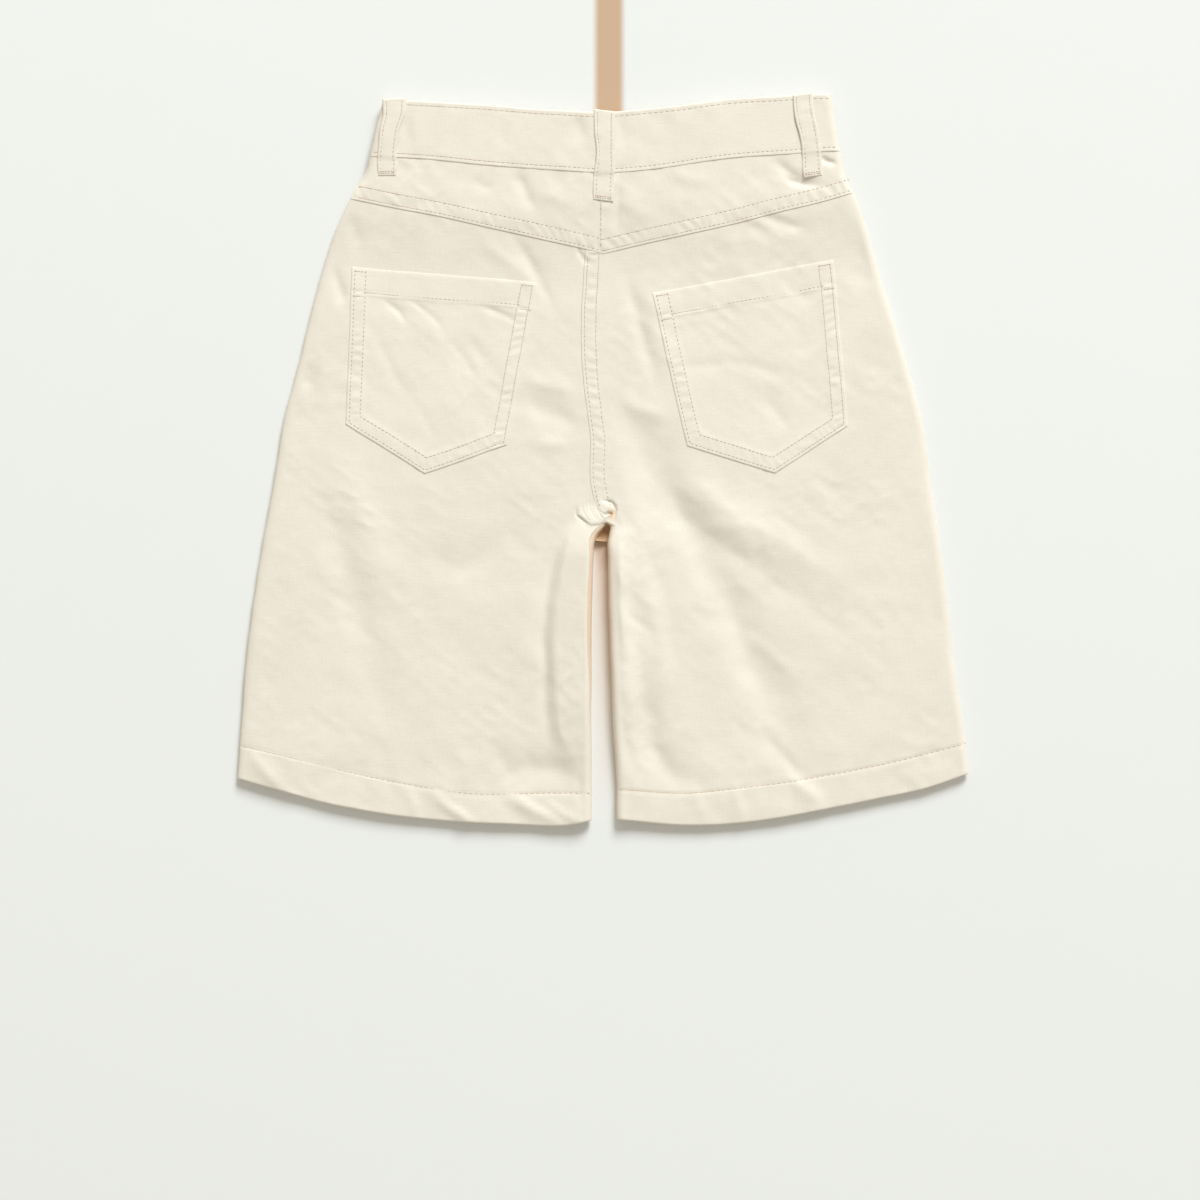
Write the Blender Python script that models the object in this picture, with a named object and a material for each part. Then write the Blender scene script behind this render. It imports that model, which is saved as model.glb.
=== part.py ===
"""Bermuda shorts laid flat, back side up: each cut piece is a thin cloth wall of its own.

Lengths in the tables are millimetres and become metres where a mesh is made.
+Z is up, +Y points to the waist, +X to the right as seen from above.
The garment is a flattened tube: the back lies on the front, and both turn into each
other round the side edges and the inseams.
"""

import bmesh
import bpy
import math
import numpy as np

MM = 0.001

# Cloth and layers
SEAM_GAP = 0.3
HALF_GAP = SEAM_GAP / 2
CLOTH = 1.2
HEM_WALL = 2.3
HEM_DEPTH = 21.0
HEM_STEP = 0.4
BAND_WALL = 2.0
POCKET_WALL = 1.3
LOOP_WALL = 1.5
BODY_THICK = 5.5
TURN = 5.0
BAND_PROUD = 0.5
YOKE_PROUD = 0.4
YOKE_PROUD_RUN = 11.0
WAIST_LIFT = 3.0
LIFT_STARTS_Y = 120.0
LIFT_ENDS_Y = 176.0

# Outline, as smooth curves through named rows
SIDE_ROWS = {
    "y": (241, 216, 201, 190, 174, 158, 132, 105, 66, 26, -13, -53, -92, -132, -172, -214),
    "left": (-144, -149.5, -153, -155.5, -165.4, -173, -182.8, -190.6, -199.8, -210.4, -217,
             -223.8, -230, -235.2, -238.4, -241.3),
    "right": (150, 154, 156.3, 158.8, 166, 171.7, 178.9, 187.6, 199.4, 209.8, 215.8,
              221.6, 226.8, 230.9, 237, 241.3),
}
WAIST_TOP_ROWS = {
    "x": (-160, -95, -35, 0, 35, 66, 125, 165),
    "y": (238, 234.2, 230.2, 228.4, 231.2, 235.2, 239.7, 240.9),
}
WAIST_SEAM_ROWS = {
    "x": (-170, -133, -77, -30, 0, 30, 66, 130, 170),
    "y": (199.6, 198.6, 193.4, 190, 188.4, 190.6, 196, 201.5, 203),
}
YOKE_SEAM_LEFT_ROWS = {"x": (-166, -112, -58, -17, 0), "y": (171.3, 160.4, 148.8, 139.6, 135.3)}
YOKE_SEAM_RIGHT_ROWS = {"x": (0, 44, 83, 130, 166), "y": (135.3, 145.6, 154.4, 165.8, 175.9)}
HEM_LEFT_ROWS = {
    "x": (-241.3, -219, -185, -152, -110, -68, -19, -7),
    "y": (-210, -216.5, -225.8, -232.2, -237.5, -239.8, -240.3, -237.5),
}
HEM_RIGHT_ROWS = {
    "x": (9, 57, 94, 135, 179, 215, 241.3),
    "y": (-237, -240.8, -238.8, -232.8, -224, -216, -207),
}
YOKE_TIP_X = 0.0
SEAT_SEAM_ROWS = {"y": (240, 137, 40, 15, -18, -34, -42), "x": (-0.5, -12.2, -12, -8.6, -8, -3, 2)}
FLY_ROWS = {"y": (240, 188, 60, 0, -42), "x": (0, 0, 0, 0.6, 2)}
CROTCH_X = 2.0
CROTCH_Y = -42.0
INSEAM_LEFT_ROWS = {
    "y": (CROTCH_Y, -44, -48, -55, -65, -90, -158, -209, -240),
    "x": (CROTCH_X, 0.9, -1.8, -4.9, -5.9, -7, -7.4, -7.3, -7.3),
}
INSEAM_RIGHT_ROWS = {
    "y": (CROTCH_Y, -44, -48, -55, -65, -90, -120, -178, -209, -240),
    "x": (CROTCH_X, 3.1, 3.1, 2.6, 3.1, 3.3, 4.3, 6.9, 8.9, 8.9),
}
# How far round the left inseam's turn its seam has rolled on to the back, in degrees
LEFT_ROLL_ROWS = {
    "y": (CROTCH_Y, -44, -48, -56, -90, -140, -175, -240),
    "angle": (0, 24, 58, 66, 66, 50, 0, 0),
}

# Largest folds of the back: a row for each stretch, height above the cloth
FOLD_COLUMNS = ("x0", "y0", "x1", "y1", "width", "height")
FOLD_ROWS = (
    (-22, -48, -39, -92, 9, -1.3),
    (-39, -92, -36, -176, 9, -1.3),
    (-176, -24, -160, -140, 13, -1.0),
    (12, 10, 44, -66, 15, 1.5),
    (44, -66, 90, -158, 15, 1.5),
    (30, 14, 60, -38, 12, -1.1),
    (60, -38, 84, -84, 12, -1.1),
    (92, -122, 124, -196, 12, -0.9),
)

# Patch pockets: corners as (x, y), in order round the outline from the top left
POCKETS = {
    "pocket_left": ((-165.6, 126.9), (-43.6, 116.8), (-63, 9.6), (-117.2, -9.2), (-169.6, 23.2)),
    "pocket_right": ((32.2, 109.8), (151.8, 131.7), (161.2, 22), (112.9, -9.2), (55.2, 8.6)),
}
POCKET_CELLS = 8
POCKET_GAP = 0.4

# Belt loops: centre line from the waist's top edge (x, y) to the lower end (x, y)
LOOP_WIDTH = 13.4
LOOPS = {
    "belt_loop_back_left": ((-136.8, 237.4), (-142.6, 185.2), 1),
    "belt_loop_back_centre": ((0.2, 229.2), (-0.2, 170.6), 1),
    "belt_loop_back_right": ((130.2, 240.4), (138.2, 186), 1),
    "belt_loop_front_left": ((-74, 232.8), (-76, 180), -1),
    "belt_loop_front_right": ((74, 235.8), (76, 182), -1),
}
LOOP_BULGE = 0.6
LOOP_CELLS = 10

# Closure at the centre front
BUTTON_RADIUS = 8.5
BUTTON_THICK = 2.4
BUTTON_RIM = 1.2
BUTTON_X = -14.0
BUTTON_Y = 209.0
ZIP_WIDTH = 22.0
ZIP_TOP_Y = 186.0
ZIP_LENGTH = 96.0
ZIP_THICK = 0.7
ZIP_GAP = 0.5
SLIDER_WIDTH = 6.5
SLIDER_LENGTH = 9.0
SLIDER_THICK = 1.1
SLIDER_DROP = 5.0

# Resolution: steps round a turn, columns across and the spacing of rows
TURN_STEPS = 3
ROLL_STEPS = 6
BACK_COLUMNS = 17
FRONT_COLUMNS = 6
YOKE_COLUMNS = 12
YOKE_ROWS = 3
BAND_COLUMNS = 22
BAND_ROWS = 2
FIRST_ROW_STEP = 1.6
ROW_GROWTH = 1.45
ROW_STEP = 19.0
LAST_ROW_SHARE = 1.6
OUTLINE_STEP = 0.2
EDGE_BLUR = 0.6
CROTCH_REACH = 16.0
FREE_ANGLE = math.pi
SEAM_ANGLE = 2 * HALF_GAP / BODY_THICK
SHARP_DEGREES = 40
MEET_TURNS = 20
YOKE_GUESS_Y = 160.0
HEM_GUESS_Y = -225.0
BUTTON_SIDES = 32
ZIP_ROWS = 6
SLIDER_TAPER = 0.7
SLIDER_ROUND = 0.8

CLOTH_COLOUR = (0.84, 0.79, 0.68)
FINISHES = {
    "cloth": (CLOTH_COLOUR, 0.85, 0.0),
    "pocket cloth": ((0.85, 0.8, 0.69), 0.85, 0.0),
    "button": ((0.72, 0.66, 0.54), 0.4, 0.0),
    "zip tape": ((0.8, 0.76, 0.66), 0.8, 0.0),
    "zip metal": ((0.6, 0.52, 0.34), 0.35, 1.0),
}


def smooth_curve(rows, key, value, at):
    """Smooth curve through the rows, read at one number or an array of them."""
    keys = np.array(rows[key], float)
    values = np.array(rows[value], float)
    order = np.argsort(keys)
    keys = keys[order]
    values = values[order]
    slopes = np.gradient(values, keys)
    at = np.clip(np.asarray(at, float), keys[0], keys[-1])
    i = np.clip(np.searchsorted(keys, at) - 1, 0, len(keys) - 2)
    span = keys[i + 1] - keys[i]
    u = (at - keys[i]) / span
    start = (1 + 2 * u) * (1 - u) ** 2 * values[i] + u * (1 - u) ** 2 * span * slopes[i]
    end = u**2 * (3 - 2 * u) * values[i + 1] + u**2 * (u - 1) * span * slopes[i + 1]
    return start + end


def smoothstep(low, high, at):
    u = np.clip((np.asarray(at, float) - low) / (high - low), 0, 1)
    return u * u * (3 - 2 * u)


def side_x(y, side):
    return smooth_curve(SIDE_ROWS, "y", side, y)


def waist_top_y(x):
    return smooth_curve(WAIST_TOP_ROWS, "x", "y", x)


def waist_seam_y(x):
    return smooth_curve(WAIST_SEAM_ROWS, "x", "y", x)


def yoke_seam_y(x):
    left = smooth_curve(YOKE_SEAM_LEFT_ROWS, "x", "y", x)
    right = smooth_curve(YOKE_SEAM_RIGHT_ROWS, "x", "y", x)
    return np.where(np.asarray(x) < 0, left, right)


def hem_y(x):
    left = smooth_curve(HEM_LEFT_ROWS, "x", "y", x)
    right = smooth_curve(HEM_RIGHT_ROWS, "x", "y", x)
    return np.where(np.asarray(x) < 0, left, right)


def fold_edges():
    """Points and outward directions along the edges where the back turns into the front."""
    side_y = np.arange(-216.0, 242.0, OUTLINE_STEP)
    leg_y = np.arange(-242.0, CROTCH_Y, OUTLINE_STEP / 2)
    runs = (
        (side_x(side_y, "left"), side_y, -1),
        (side_x(side_y, "right"), side_y, 1),
        (smooth_curve(INSEAM_LEFT_ROWS, "y", "x", leg_y), leg_y, 1),
        (smooth_curve(INSEAM_RIGHT_ROWS, "y", "x", leg_y), leg_y, -1),
    )
    points = [np.array([[CROTCH_X, CROTCH_Y]])]
    outs = [np.array([[0.0, -1.0]])]
    for x, y, turn in runs:
        slope = np.gradient(x, y)
        length = np.hypot(1, slope)
        points.append(np.column_stack((x, y)))
        outs.append(np.column_stack((turn / length, -turn * slope / length)))
    return np.vstack(points), np.vstack(outs)


EDGE_POINTS, EDGE_OUTS = fold_edges()


def to_edge(x, y):
    """Distance to the nearest fold edge, and the unit direction towards it."""
    gaps = EDGE_POINTS[None, :, :] - np.column_stack((x, y))[:, None, :]
    lengths = np.hypot(gaps[..., 0], gaps[..., 1])
    nearest = lengths.argmin(axis=1)
    picked = np.arange(len(nearest))
    distance = lengths[picked, nearest]
    towards = gaps[picked, nearest] / np.maximum(distance, EDGE_BLUR)[:, None]
    at_edge = (distance < EDGE_BLUR)[:, None]
    towards = np.where(at_edge, EDGE_OUTS[nearest], towards)
    # Walls are cut level along the sides, and square to the edge only round the crotch
    from_crotch = np.hypot(x - CROTCH_X, y - CROTCH_Y)
    towards[:, 1] *= 1 - smoothstep(CROTCH_REACH / 2, CROTCH_REACH, from_crotch)
    return distance, towards / np.linalg.norm(towards, axis=1)[:, None]


def fold_height(x, y):
    """Height that the largest folds add to the back."""
    total = np.zeros_like(np.asarray(x, float))
    for values in FOLD_ROWS:
        row = dict(zip(FOLD_COLUMNS, values))
        along = np.array((row["x1"] - row["x0"], row["y1"] - row["y0"]), float)
        length = np.hypot(*along)
        along /= length
        dx = x - row["x0"]
        dy = y - row["y0"]
        run = dx * along[0] + dy * along[1]
        beyond = np.maximum(np.maximum(-run, run - length), 0)
        across = np.hypot(dx * along[1] - dy * along[0], beyond)
        total += row["height"] * np.exp(-((across / row["width"]) ** 2))
    return total


def waist_lift(y):
    return WAIST_LIFT * smoothstep(LIFT_STARTS_Y, LIFT_ENDS_Y, y)


def raised_by_seams(x, y):
    """The waistband and the yoke's lower edge stand proud of the cloth next to them."""
    seam = waist_seam_y(x)
    band = BAND_PROUD * smoothstep(seam - 0.1, seam + 0.1, y)
    below = smoothstep(-0.1, 0.1, yoke_seam_y(x) - y)
    yoke = YOKE_PROUD * (1 - below) * (1 - smoothstep(0, YOKE_PROUD_RUN, y - yoke_seam_y(x)))
    return band + yoke


def back_height(x, y):
    """Outer height of the laid back away from its edges."""
    return waist_lift(y) + BODY_THICK + raised_by_seams(x, y) + fold_height(x, y)


def wall_points(x, y, angle, wall):
    """Outer and inner points of a cloth wall, for a row of places in plan.

    angle is how far round the fold edge each place is: 0 at the edge, 90 degrees on the
    back's flat and -90 degrees on the front's. Only its sign counts where it is past 90,
    and the angle then comes from the distance to the edge.
    """
    distance, towards = to_edge(x, y)
    near = np.arccos(np.clip(1 - distance / TURN, 0, 1))
    turn = np.where(np.abs(angle) > FREE_ANGLE, np.sign(angle) * near, angle)
    settle = smoothstep(TURN, 3 * TURN, distance)
    extra = np.where(turn > 0, raised_by_seams(x, y) + settle * fold_height(x, y), 0)
    half = BODY_THICK / 2
    middle = waist_lift(y) + half
    outer_z = middle + (half + extra) * np.sin(turn)
    inner_z = middle + (half + extra - wall) * np.sin(turn)
    sunk = towards * (wall * np.cos(turn))[:, None]
    outer = np.column_stack((x, y, outer_z))
    inner = np.column_stack((x - sunk[:, 0], y - sunk[:, 1], inner_z))
    return outer, inner


def part_at_seam(outer, inner, y, side):
    """Keep a point at a side seam half a gap from the middle height."""
    limit = waist_lift(y) + BODY_THICK / 2 + side * HALF_GAP
    for point in (outer, inner):
        point[2] = max(point[2], limit) if side > 0 else min(point[2], limit)


def material(kind):
    finish = bpy.data.materials.get(kind)
    if finish is None:
        colour, roughness, metallic = FINISHES[kind]
        finish = bpy.data.materials.new(kind)
        finish.use_nodes = True
        shader = finish.node_tree.nodes["Principled BSDF"]
        shader.inputs["Base Color"].default_value = (*colour, 1.0)
        shader.inputs["Roughness"].default_value = roughness
        shader.inputs["Metallic"].default_value = metallic
    return finish


def add_object(name, bm, kind):
    """Turn a bmesh in millimetres into a named object in metres, faces outwards."""
    bmesh.ops.scale(bm, vec=(MM, MM, MM), verts=bm.verts)
    if bm.calc_volume(signed=True) < 0:
        bmesh.ops.reverse_faces(bm, faces=bm.faces)
    mesh = bpy.data.meshes.new(name)
    bm.to_mesh(mesh)
    bm.free()
    mesh.shade_smooth()
    mesh.set_sharp_from_angle(angle=math.radians(SHARP_DEGREES))
    mesh.materials.append(material(kind))
    thing = bpy.data.objects.new(name, mesh)
    bpy.context.collection.objects.link(thing)
    return thing


def add_wall(name, outer, inner, kind):
    """Closed wall between an outer and an inner grid of points."""
    rows = len(outer)
    columns = len(outer[0])
    bm = bmesh.new()
    top, under = [[[bm.verts.new(p) for p in row] for row in skin] for skin in (outer, inner)]
    for r in range(rows - 1):
        for c in range(columns - 1):
            bm.faces.new((top[r][c], top[r][c + 1], top[r + 1][c + 1], top[r + 1][c]))
            bm.faces.new((under[r][c], under[r + 1][c], under[r + 1][c + 1], under[r][c + 1]))
    for c in range(columns - 1):
        bm.faces.new((top[0][c + 1], top[0][c], under[0][c], under[0][c + 1]))
        bm.faces.new((top[-1][c], top[-1][c + 1], under[-1][c + 1], under[-1][c]))
    for r in range(rows - 1):
        bm.faces.new((top[r][0], top[r + 1][0], under[r + 1][0], under[r][0]))
        bm.faces.new((top[r + 1][-1], top[r][-1], under[r][-1], under[r + 1][-1]))
    bmesh.ops.triangulate(bm, faces=bm.faces)
    return add_object(name, bm, kind)


def patch_row(top, bottom, inner, outer, s, t):
    """Row of a Coons patch: s runs from the inner to the outer edge, t from top to bottom."""
    s = s[:, None]
    ruled = (1 - t) * top(s) + t * bottom(s)
    crossed = (1 - s) * inner(t) + s * outer(t)
    corners = (1 - s) * ((1 - t) * top(0) + t * bottom(0)) + s * ((1 - t) * top(1) + t * bottom(1))
    return ruled + crossed - corners


def down_path(shares, heights, x_of_y):
    """Path down an edge, which passes the given heights at the given shares of its way."""

    def path(share):
        y = np.interp(np.atleast_1d(share).astype(float).ravel(), shares, heights)
        return np.column_stack((x_of_y(y), y))

    return path


def across_path(x_inner, x_outer, y_of_x):
    """Path along a seam, from the middle at share 0 to the side at share 1."""

    def path(share):
        x = x_inner + (x_outer - x_inner) * np.atleast_1d(share).astype(float).ravel()
        return np.column_stack((x, y_of_x(x)))

    return path


def meet(y_of_x, x_of_y, y_guess):
    """Height at which a seam that runs across meets an edge that runs down."""
    y = y_guess
    for _ in range(MEET_TURNS):
        y = float(y_of_x(float(x_of_y(y))))
    return y


def heights_from(start, end):
    """Heights from start to end, close together at the start and then evenly spaced."""
    heights = [start]
    step = FIRST_ROW_STEP
    way = math.copysign(1.0, end - start)
    while abs(end - heights[-1]) > LAST_ROW_SHARE * step:
        heights.append(heights[-1] + way * step)
        step = min(step * ROW_GROWTH, ROW_STEP)
    heights.append(end)
    return heights


def leg_panel(name, hand, side, middle_x, columns):
    """One leg's back (side 1), up to the yoke, or its front (side -1), up to the waistband.

    The back and the front of a leg have the same rows, so that their edges match.
    """
    left = hand == "left"
    inseam = INSEAM_LEFT_ROWS if left else INSEAM_RIGHT_ROWS

    def inner_x(y):
        leg = smooth_curve(inseam, "y", "x", y)
        return np.where(np.asarray(y) > CROTCH_Y, middle_x(y), leg)

    def outer_x(y):
        return side_x(y, hand)

    y_yoke = meet(yoke_seam_y, seat_seam_x, YOKE_GUESS_Y)
    y_hem = meet(hem_y, inner_x, HEM_GUESS_Y)
    hem_fold = y_hem + HEM_DEPTH
    heights = heights_from(CROTCH_Y, y_yoke)[::-1] + heights_from(CROTCH_Y, hem_fold + HEM_STEP)[1:]
    heights += [hem_fold, y_hem]
    outer_in = [y_yoke, y_hem]
    outer_out = [meet(yoke_seam_y, outer_x, YOKE_GUESS_Y), meet(hem_y, outer_x, HEM_GUESS_Y)]
    top_y = yoke_seam_y
    if side < 0:
        top_y = waist_seam_y
        y_waist = meet(waist_seam_y, inner_x, YOKE_GUESS_Y)
        heights = list(np.linspace(y_waist, y_yoke, YOKE_ROWS + 1)[:-1]) + heights
        outer_in.insert(0, y_waist)
        outer_out.insert(0, meet(waist_seam_y, outer_x, YOKE_GUESS_Y))
    y_top = heights[0]
    inner = down_path((0, 1), (y_top, y_hem), inner_x)
    outer = down_path((y_top - np.array(outer_in)) / (y_top - y_hem), outer_out, outer_x)
    top = across_path(inner(0)[0][0], outer(0)[0][0], top_y)
    bottom = across_path(inner(1)[0][0], outer(1)[0][0], hem_y)

    away = -1 if left else 1
    outers = []
    inners = []
    for y in heights:
        t = (y_top - y) / (y_top - y_hem)
        width = abs(outer(t)[0][0] - inner(t)[0][0])
        on_leg = y <= CROTCH_Y
        seam = 0.0
        if left and on_leg:
            seam = math.radians(max(0.0, float(smooth_curve(LEFT_ROLL_ROWS, "y", "angle", y))))
        steps = ROLL_STEPS if left and side < 0 else TURN_STEPS
        first = np.linspace(seam + side * SEAM_ANGLE, side * math.pi / 2, steps + 1)
        last = np.linspace(side * math.pi / 2, side * SEAM_ANGLE, TURN_STEPS + 1)
        near_run = TURN * (1 - np.cos(first))
        if not on_leg:
            near_run = near_run - near_run[0]
        far_run = width - TURN * (1 - np.cos(last))
        flat_run = np.linspace(near_run[-1], far_run[0], columns + 1)[1:-1]
        free = np.full(len(flat_run), side * 2 * FREE_ANGLE)
        near_angle = first if on_leg else np.full(steps + 1, side * 2 * FREE_ANGLE)
        angle = np.concatenate((near_angle, free, last))
        share = np.concatenate((near_run, flat_run, far_run)) / width
        tip_share = away * (YOKE_TIP_X - inner(0)[0][0]) / width
        if side > 0 and t == 0 and tip_share > 0:
            share[np.abs(share - tip_share).argmin()] = tip_share
        plan = patch_row(top, bottom, inner, outer, share, t)
        x = plan[:, 0]
        y_row = plan[:, 1] - (HALF_GAP if t == 0 else 0)
        wall = np.full(len(x), HEM_WALL if y <= hem_fold else CLOTH)
        row_outer, row_inner = wall_points(x, y_row, angle, wall)
        if on_leg and abs(seam) < SEAM_ANGLE:
            part_at_seam(row_outer[0], row_inner[0], y_row[0], side)
        part_at_seam(row_outer[-1], row_inner[-1], y_row[-1], side)
        for row in (row_outer, row_inner):
            row[:, 0] += away * HALF_GAP
        outers.append(row_outer)
        inners.append(row_inner)
    return add_wall(name, outers, inners, "cloth")


def yoke(name, hand):
    """Half of the pointed yoke, between the waistband and the back panel."""
    left = hand == "left"
    away = -1 if left else 1

    def outer_x(y):
        return side_x(y, hand)

    x_low = float(side_x(meet(yoke_seam_y, outer_x, YOKE_GUESS_Y), hand))
    x_high = float(side_x(meet(waist_seam_y, outer_x, YOKE_GUESS_Y), hand))
    low = across_path(YOKE_TIP_X, x_low, yoke_seam_y)
    high = across_path(YOKE_TIP_X, x_high, waist_seam_y)
    last = np.linspace(math.pi / 2, SEAM_ANGLE, TURN_STEPS + 1)
    outers = []
    inners = []
    for v in np.linspace(0, 1, YOKE_ROWS + 1):
        width = abs((1 - v) * x_low + v * x_high - YOKE_TIP_X)
        far_run = width - TURN * (1 - np.cos(last))
        flat_run = np.linspace(0, far_run[0], YOKE_COLUMNS + 1)[:-1]
        share = np.concatenate((flat_run, far_run)) / width
        plan = (1 - v) * low(share) + v * high(share)
        x = plan[:, 0]
        shift = HALF_GAP if v == 0 else (-HALF_GAP if v == 1 else 0)
        y = plan[:, 1] + shift
        angle = np.concatenate((np.full(len(flat_run), 2 * FREE_ANGLE), last))
        row_outer, row_inner = wall_points(x, y, angle, np.full(len(x), CLOTH))
        part_at_seam(row_outer[-1], row_inner[-1], y[-1], 1)
        for row in (row_outer, row_inner):
            row[:, 0] += away * HALF_GAP
        outers.append(row_outer)
        inners.append(row_inner)
    return add_wall(name, outers, inners, "cloth")


def waistband():
    """One strip from the fly round both sides and back to the fly."""
    quarter = np.linspace(-math.pi / 2, math.pi / 2, 2 * TURN_STEPS + 1)
    outers = []
    inners = []
    for v in np.linspace(0, 1, BAND_ROWS + 1):

        def row_y(x, v=v):
            return waist_seam_y(x) * (1 - v) + waist_top_y(x) * v

        left = float(side_x(meet(row_y, lambda y: side_x(y, "left"), YOKE_GUESS_Y), "left"))
        right = float(side_x(meet(row_y, lambda y: side_x(y, "right"), YOKE_GUESS_Y), "right"))
        turn_run = TURN * (1 - np.cos(quarter))
        half_front = BAND_COLUMNS // 2
        fly = float(fly_x(row_y(0)))
        front_left = np.linspace(fly - HALF_GAP, left + TURN, half_front + 1)[:-1]
        back = np.linspace(left + TURN, right - TURN, BAND_COLUMNS + 1)[1:-1]
        front_right = np.linspace(right - TURN, fly + HALF_GAP, half_front + 1)[1:]
        x = np.concatenate((front_left, left + turn_run, back, right - turn_run, front_right))
        below = np.full(half_front, -2 * FREE_ANGLE)
        above = np.full(BAND_COLUMNS - 1, 2 * FREE_ANGLE)
        angle = np.concatenate((below, quarter, above, quarter[::-1], below))
        y = row_y(x) + (HALF_GAP if v == 0 else 0)
        row_outer, row_inner = wall_points(x, y, angle, np.full(len(x), BAND_WALL))
        outers.append(row_outer)
        inners.append(row_inner)
    return add_wall("waistband", outers, inners, "cloth")


def patch_pocket(name, corners):
    """Five-sided patch pocket that follows the back panel under it."""
    top_left, top_right, low_right, tip, low_left = [np.array(c, float) for c in corners]
    outers = []
    inners = []
    cells = np.linspace(0, 1, POCKET_CELLS + 1)
    for t in cells:
        row = []
        for s in cells:
            high = top_left + (top_right - top_left) * s
            if s <= 0.5:
                low = low_left + (tip - low_left) * 2 * s
            else:
                low = tip + (low_right - tip) * (2 * s - 1)
            row.append(high + (low - high) * t)
        plan = np.array(row)
        z = back_height(plan[:, 0], plan[:, 1]) + POCKET_GAP
        inners.append(np.column_stack((plan, z)))
        outers.append(np.column_stack((plan, z + POCKET_WALL)))
    return add_wall(name, outers, inners, "pocket cloth")


def belt_loop(name, top, bottom, side):
    """Folded strip, sewn down at both ends, that bows off the waistband between them."""
    top = np.array(top)
    bottom = np.array(bottom)
    across = np.array((LOOP_WIDTH / 2, 0.0))
    outers = []
    inners = []
    for v in np.linspace(0, 1, LOOP_CELLS + 1):
        middle = top + (bottom - top) * v
        plan = np.array((middle - across, middle, middle + across))
        bow = SEAM_GAP + LOOP_BULGE * math.sin(math.pi * v) ** 2
        lift = waist_lift(plan[:, 1])
        near = lift + BODY_THICK + BAND_PROUD + bow if side > 0 else lift - bow
        inners.append(np.column_stack((plan, near)))
        outers.append(np.column_stack((plan, near + side * LOOP_WALL)))
    return add_wall(name, outers, inners, "cloth")


def button():
    """Flat sewn-on button with a raised rim, on the outside of the waistband."""
    bm = bmesh.new()
    top = WAIST_LIFT - SEAM_GAP
    bmesh.ops.create_circle(bm, cap_ends=True, radius=BUTTON_RADIUS, segments=BUTTON_SIDES)
    bmesh.ops.translate(bm, vec=(BUTTON_X, BUTTON_Y, top), verts=bm.verts)
    disc = bm.faces[:]
    body = bmesh.ops.extrude_face_region(bm, geom=disc)
    lowered = [v for v in body["geom"] if isinstance(v, bmesh.types.BMVert)]
    bmesh.ops.translate(bm, vec=(0, 0, -BUTTON_THICK), verts=lowered)
    bmesh.ops.recalc_face_normals(bm, faces=bm.faces)
    face = [f for f in body["geom"] if isinstance(f, bmesh.types.BMFace)]
    bmesh.ops.inset_region(bm, faces=face, thickness=BUTTON_RIM, depth=0)
    bmesh.ops.inset_region(bm, faces=face, thickness=BUTTON_RIM / 2, depth=-BUTTON_RIM / 2)
    bmesh.ops.triangulate(bm, faces=bm.faces)
    return add_object("button", bm, "button")


def zip_tape():
    """Zip tape behind the fly, between the front and the back."""
    outers = []
    inners = []
    for v in np.linspace(0, 1, ZIP_ROWS + 1):
        y = ZIP_TOP_Y - ZIP_LENGTH * v
        x = np.linspace(-ZIP_WIDTH / 2, ZIP_WIDTH / 2, 3)
        z = np.full(3, float(waist_lift(y)) + CLOTH + ZIP_GAP)
        inners.append(np.column_stack((x, np.full(3, y), z)))
        outers.append(np.column_stack((x, np.full(3, y), z + ZIP_THICK)))
    return add_wall("zip_tape", outers, inners, "zip tape")


def zip_slider():
    """Closed zip's slider, up at the top of its tape."""
    bm = bmesh.new()
    y = ZIP_TOP_Y - SLIDER_DROP
    z = WAIST_LIFT + CLOTH + ZIP_GAP + ZIP_THICK + SEAM_GAP + SLIDER_THICK / 2
    bmesh.ops.create_cube(bm, size=1.0)
    bmesh.ops.scale(bm, vec=(SLIDER_WIDTH, SLIDER_LENGTH, SLIDER_THICK), verts=bm.verts)
    for v in bm.verts:
        if v.co.y < 0:
            v.co.x *= SLIDER_TAPER
    bmesh.ops.translate(bm, vec=(0, y, z), verts=bm.verts)
    corners = [e for e in bm.edges if abs(e.verts[0].co.z - e.verts[1].co.z) > SLIDER_THICK / 2]
    bmesh.ops.bevel(bm, geom=corners, offset=SLIDER_ROUND, segments=2, affect="EDGES", profile=0.5)
    bmesh.ops.triangulate(bm, faces=bm.faces)
    return add_object("zip_slider", bm, "zip metal")


def seat_seam_x(y):
    return smooth_curve(SEAT_SEAM_ROWS, "y", "x", y)


def fly_x(y):
    return smooth_curve(FLY_ROWS, "y", "x", y)


for thing in list(bpy.data.objects):
    bpy.data.objects.remove(thing, do_unlink=True)

for hand in ("left", "right"):
    leg_panel(f"back_{hand}", hand, 1, seat_seam_x, BACK_COLUMNS)
    leg_panel(f"front_{hand}", hand, -1, fly_x, FRONT_COLUMNS)
    yoke(f"yoke_{hand}", hand)
waistband()
for name, corners in POCKETS.items():
    patch_pocket(name, corners)
for name, (top, bottom, side) in LOOPS.items():
    belt_loop(name, top, bottom, side)
button()
zip_tape()
zip_slider()
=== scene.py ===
import bmesh
import bpy
import math
import numpy as np
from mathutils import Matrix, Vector
from mathutils.kdtree import KDTree


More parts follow.
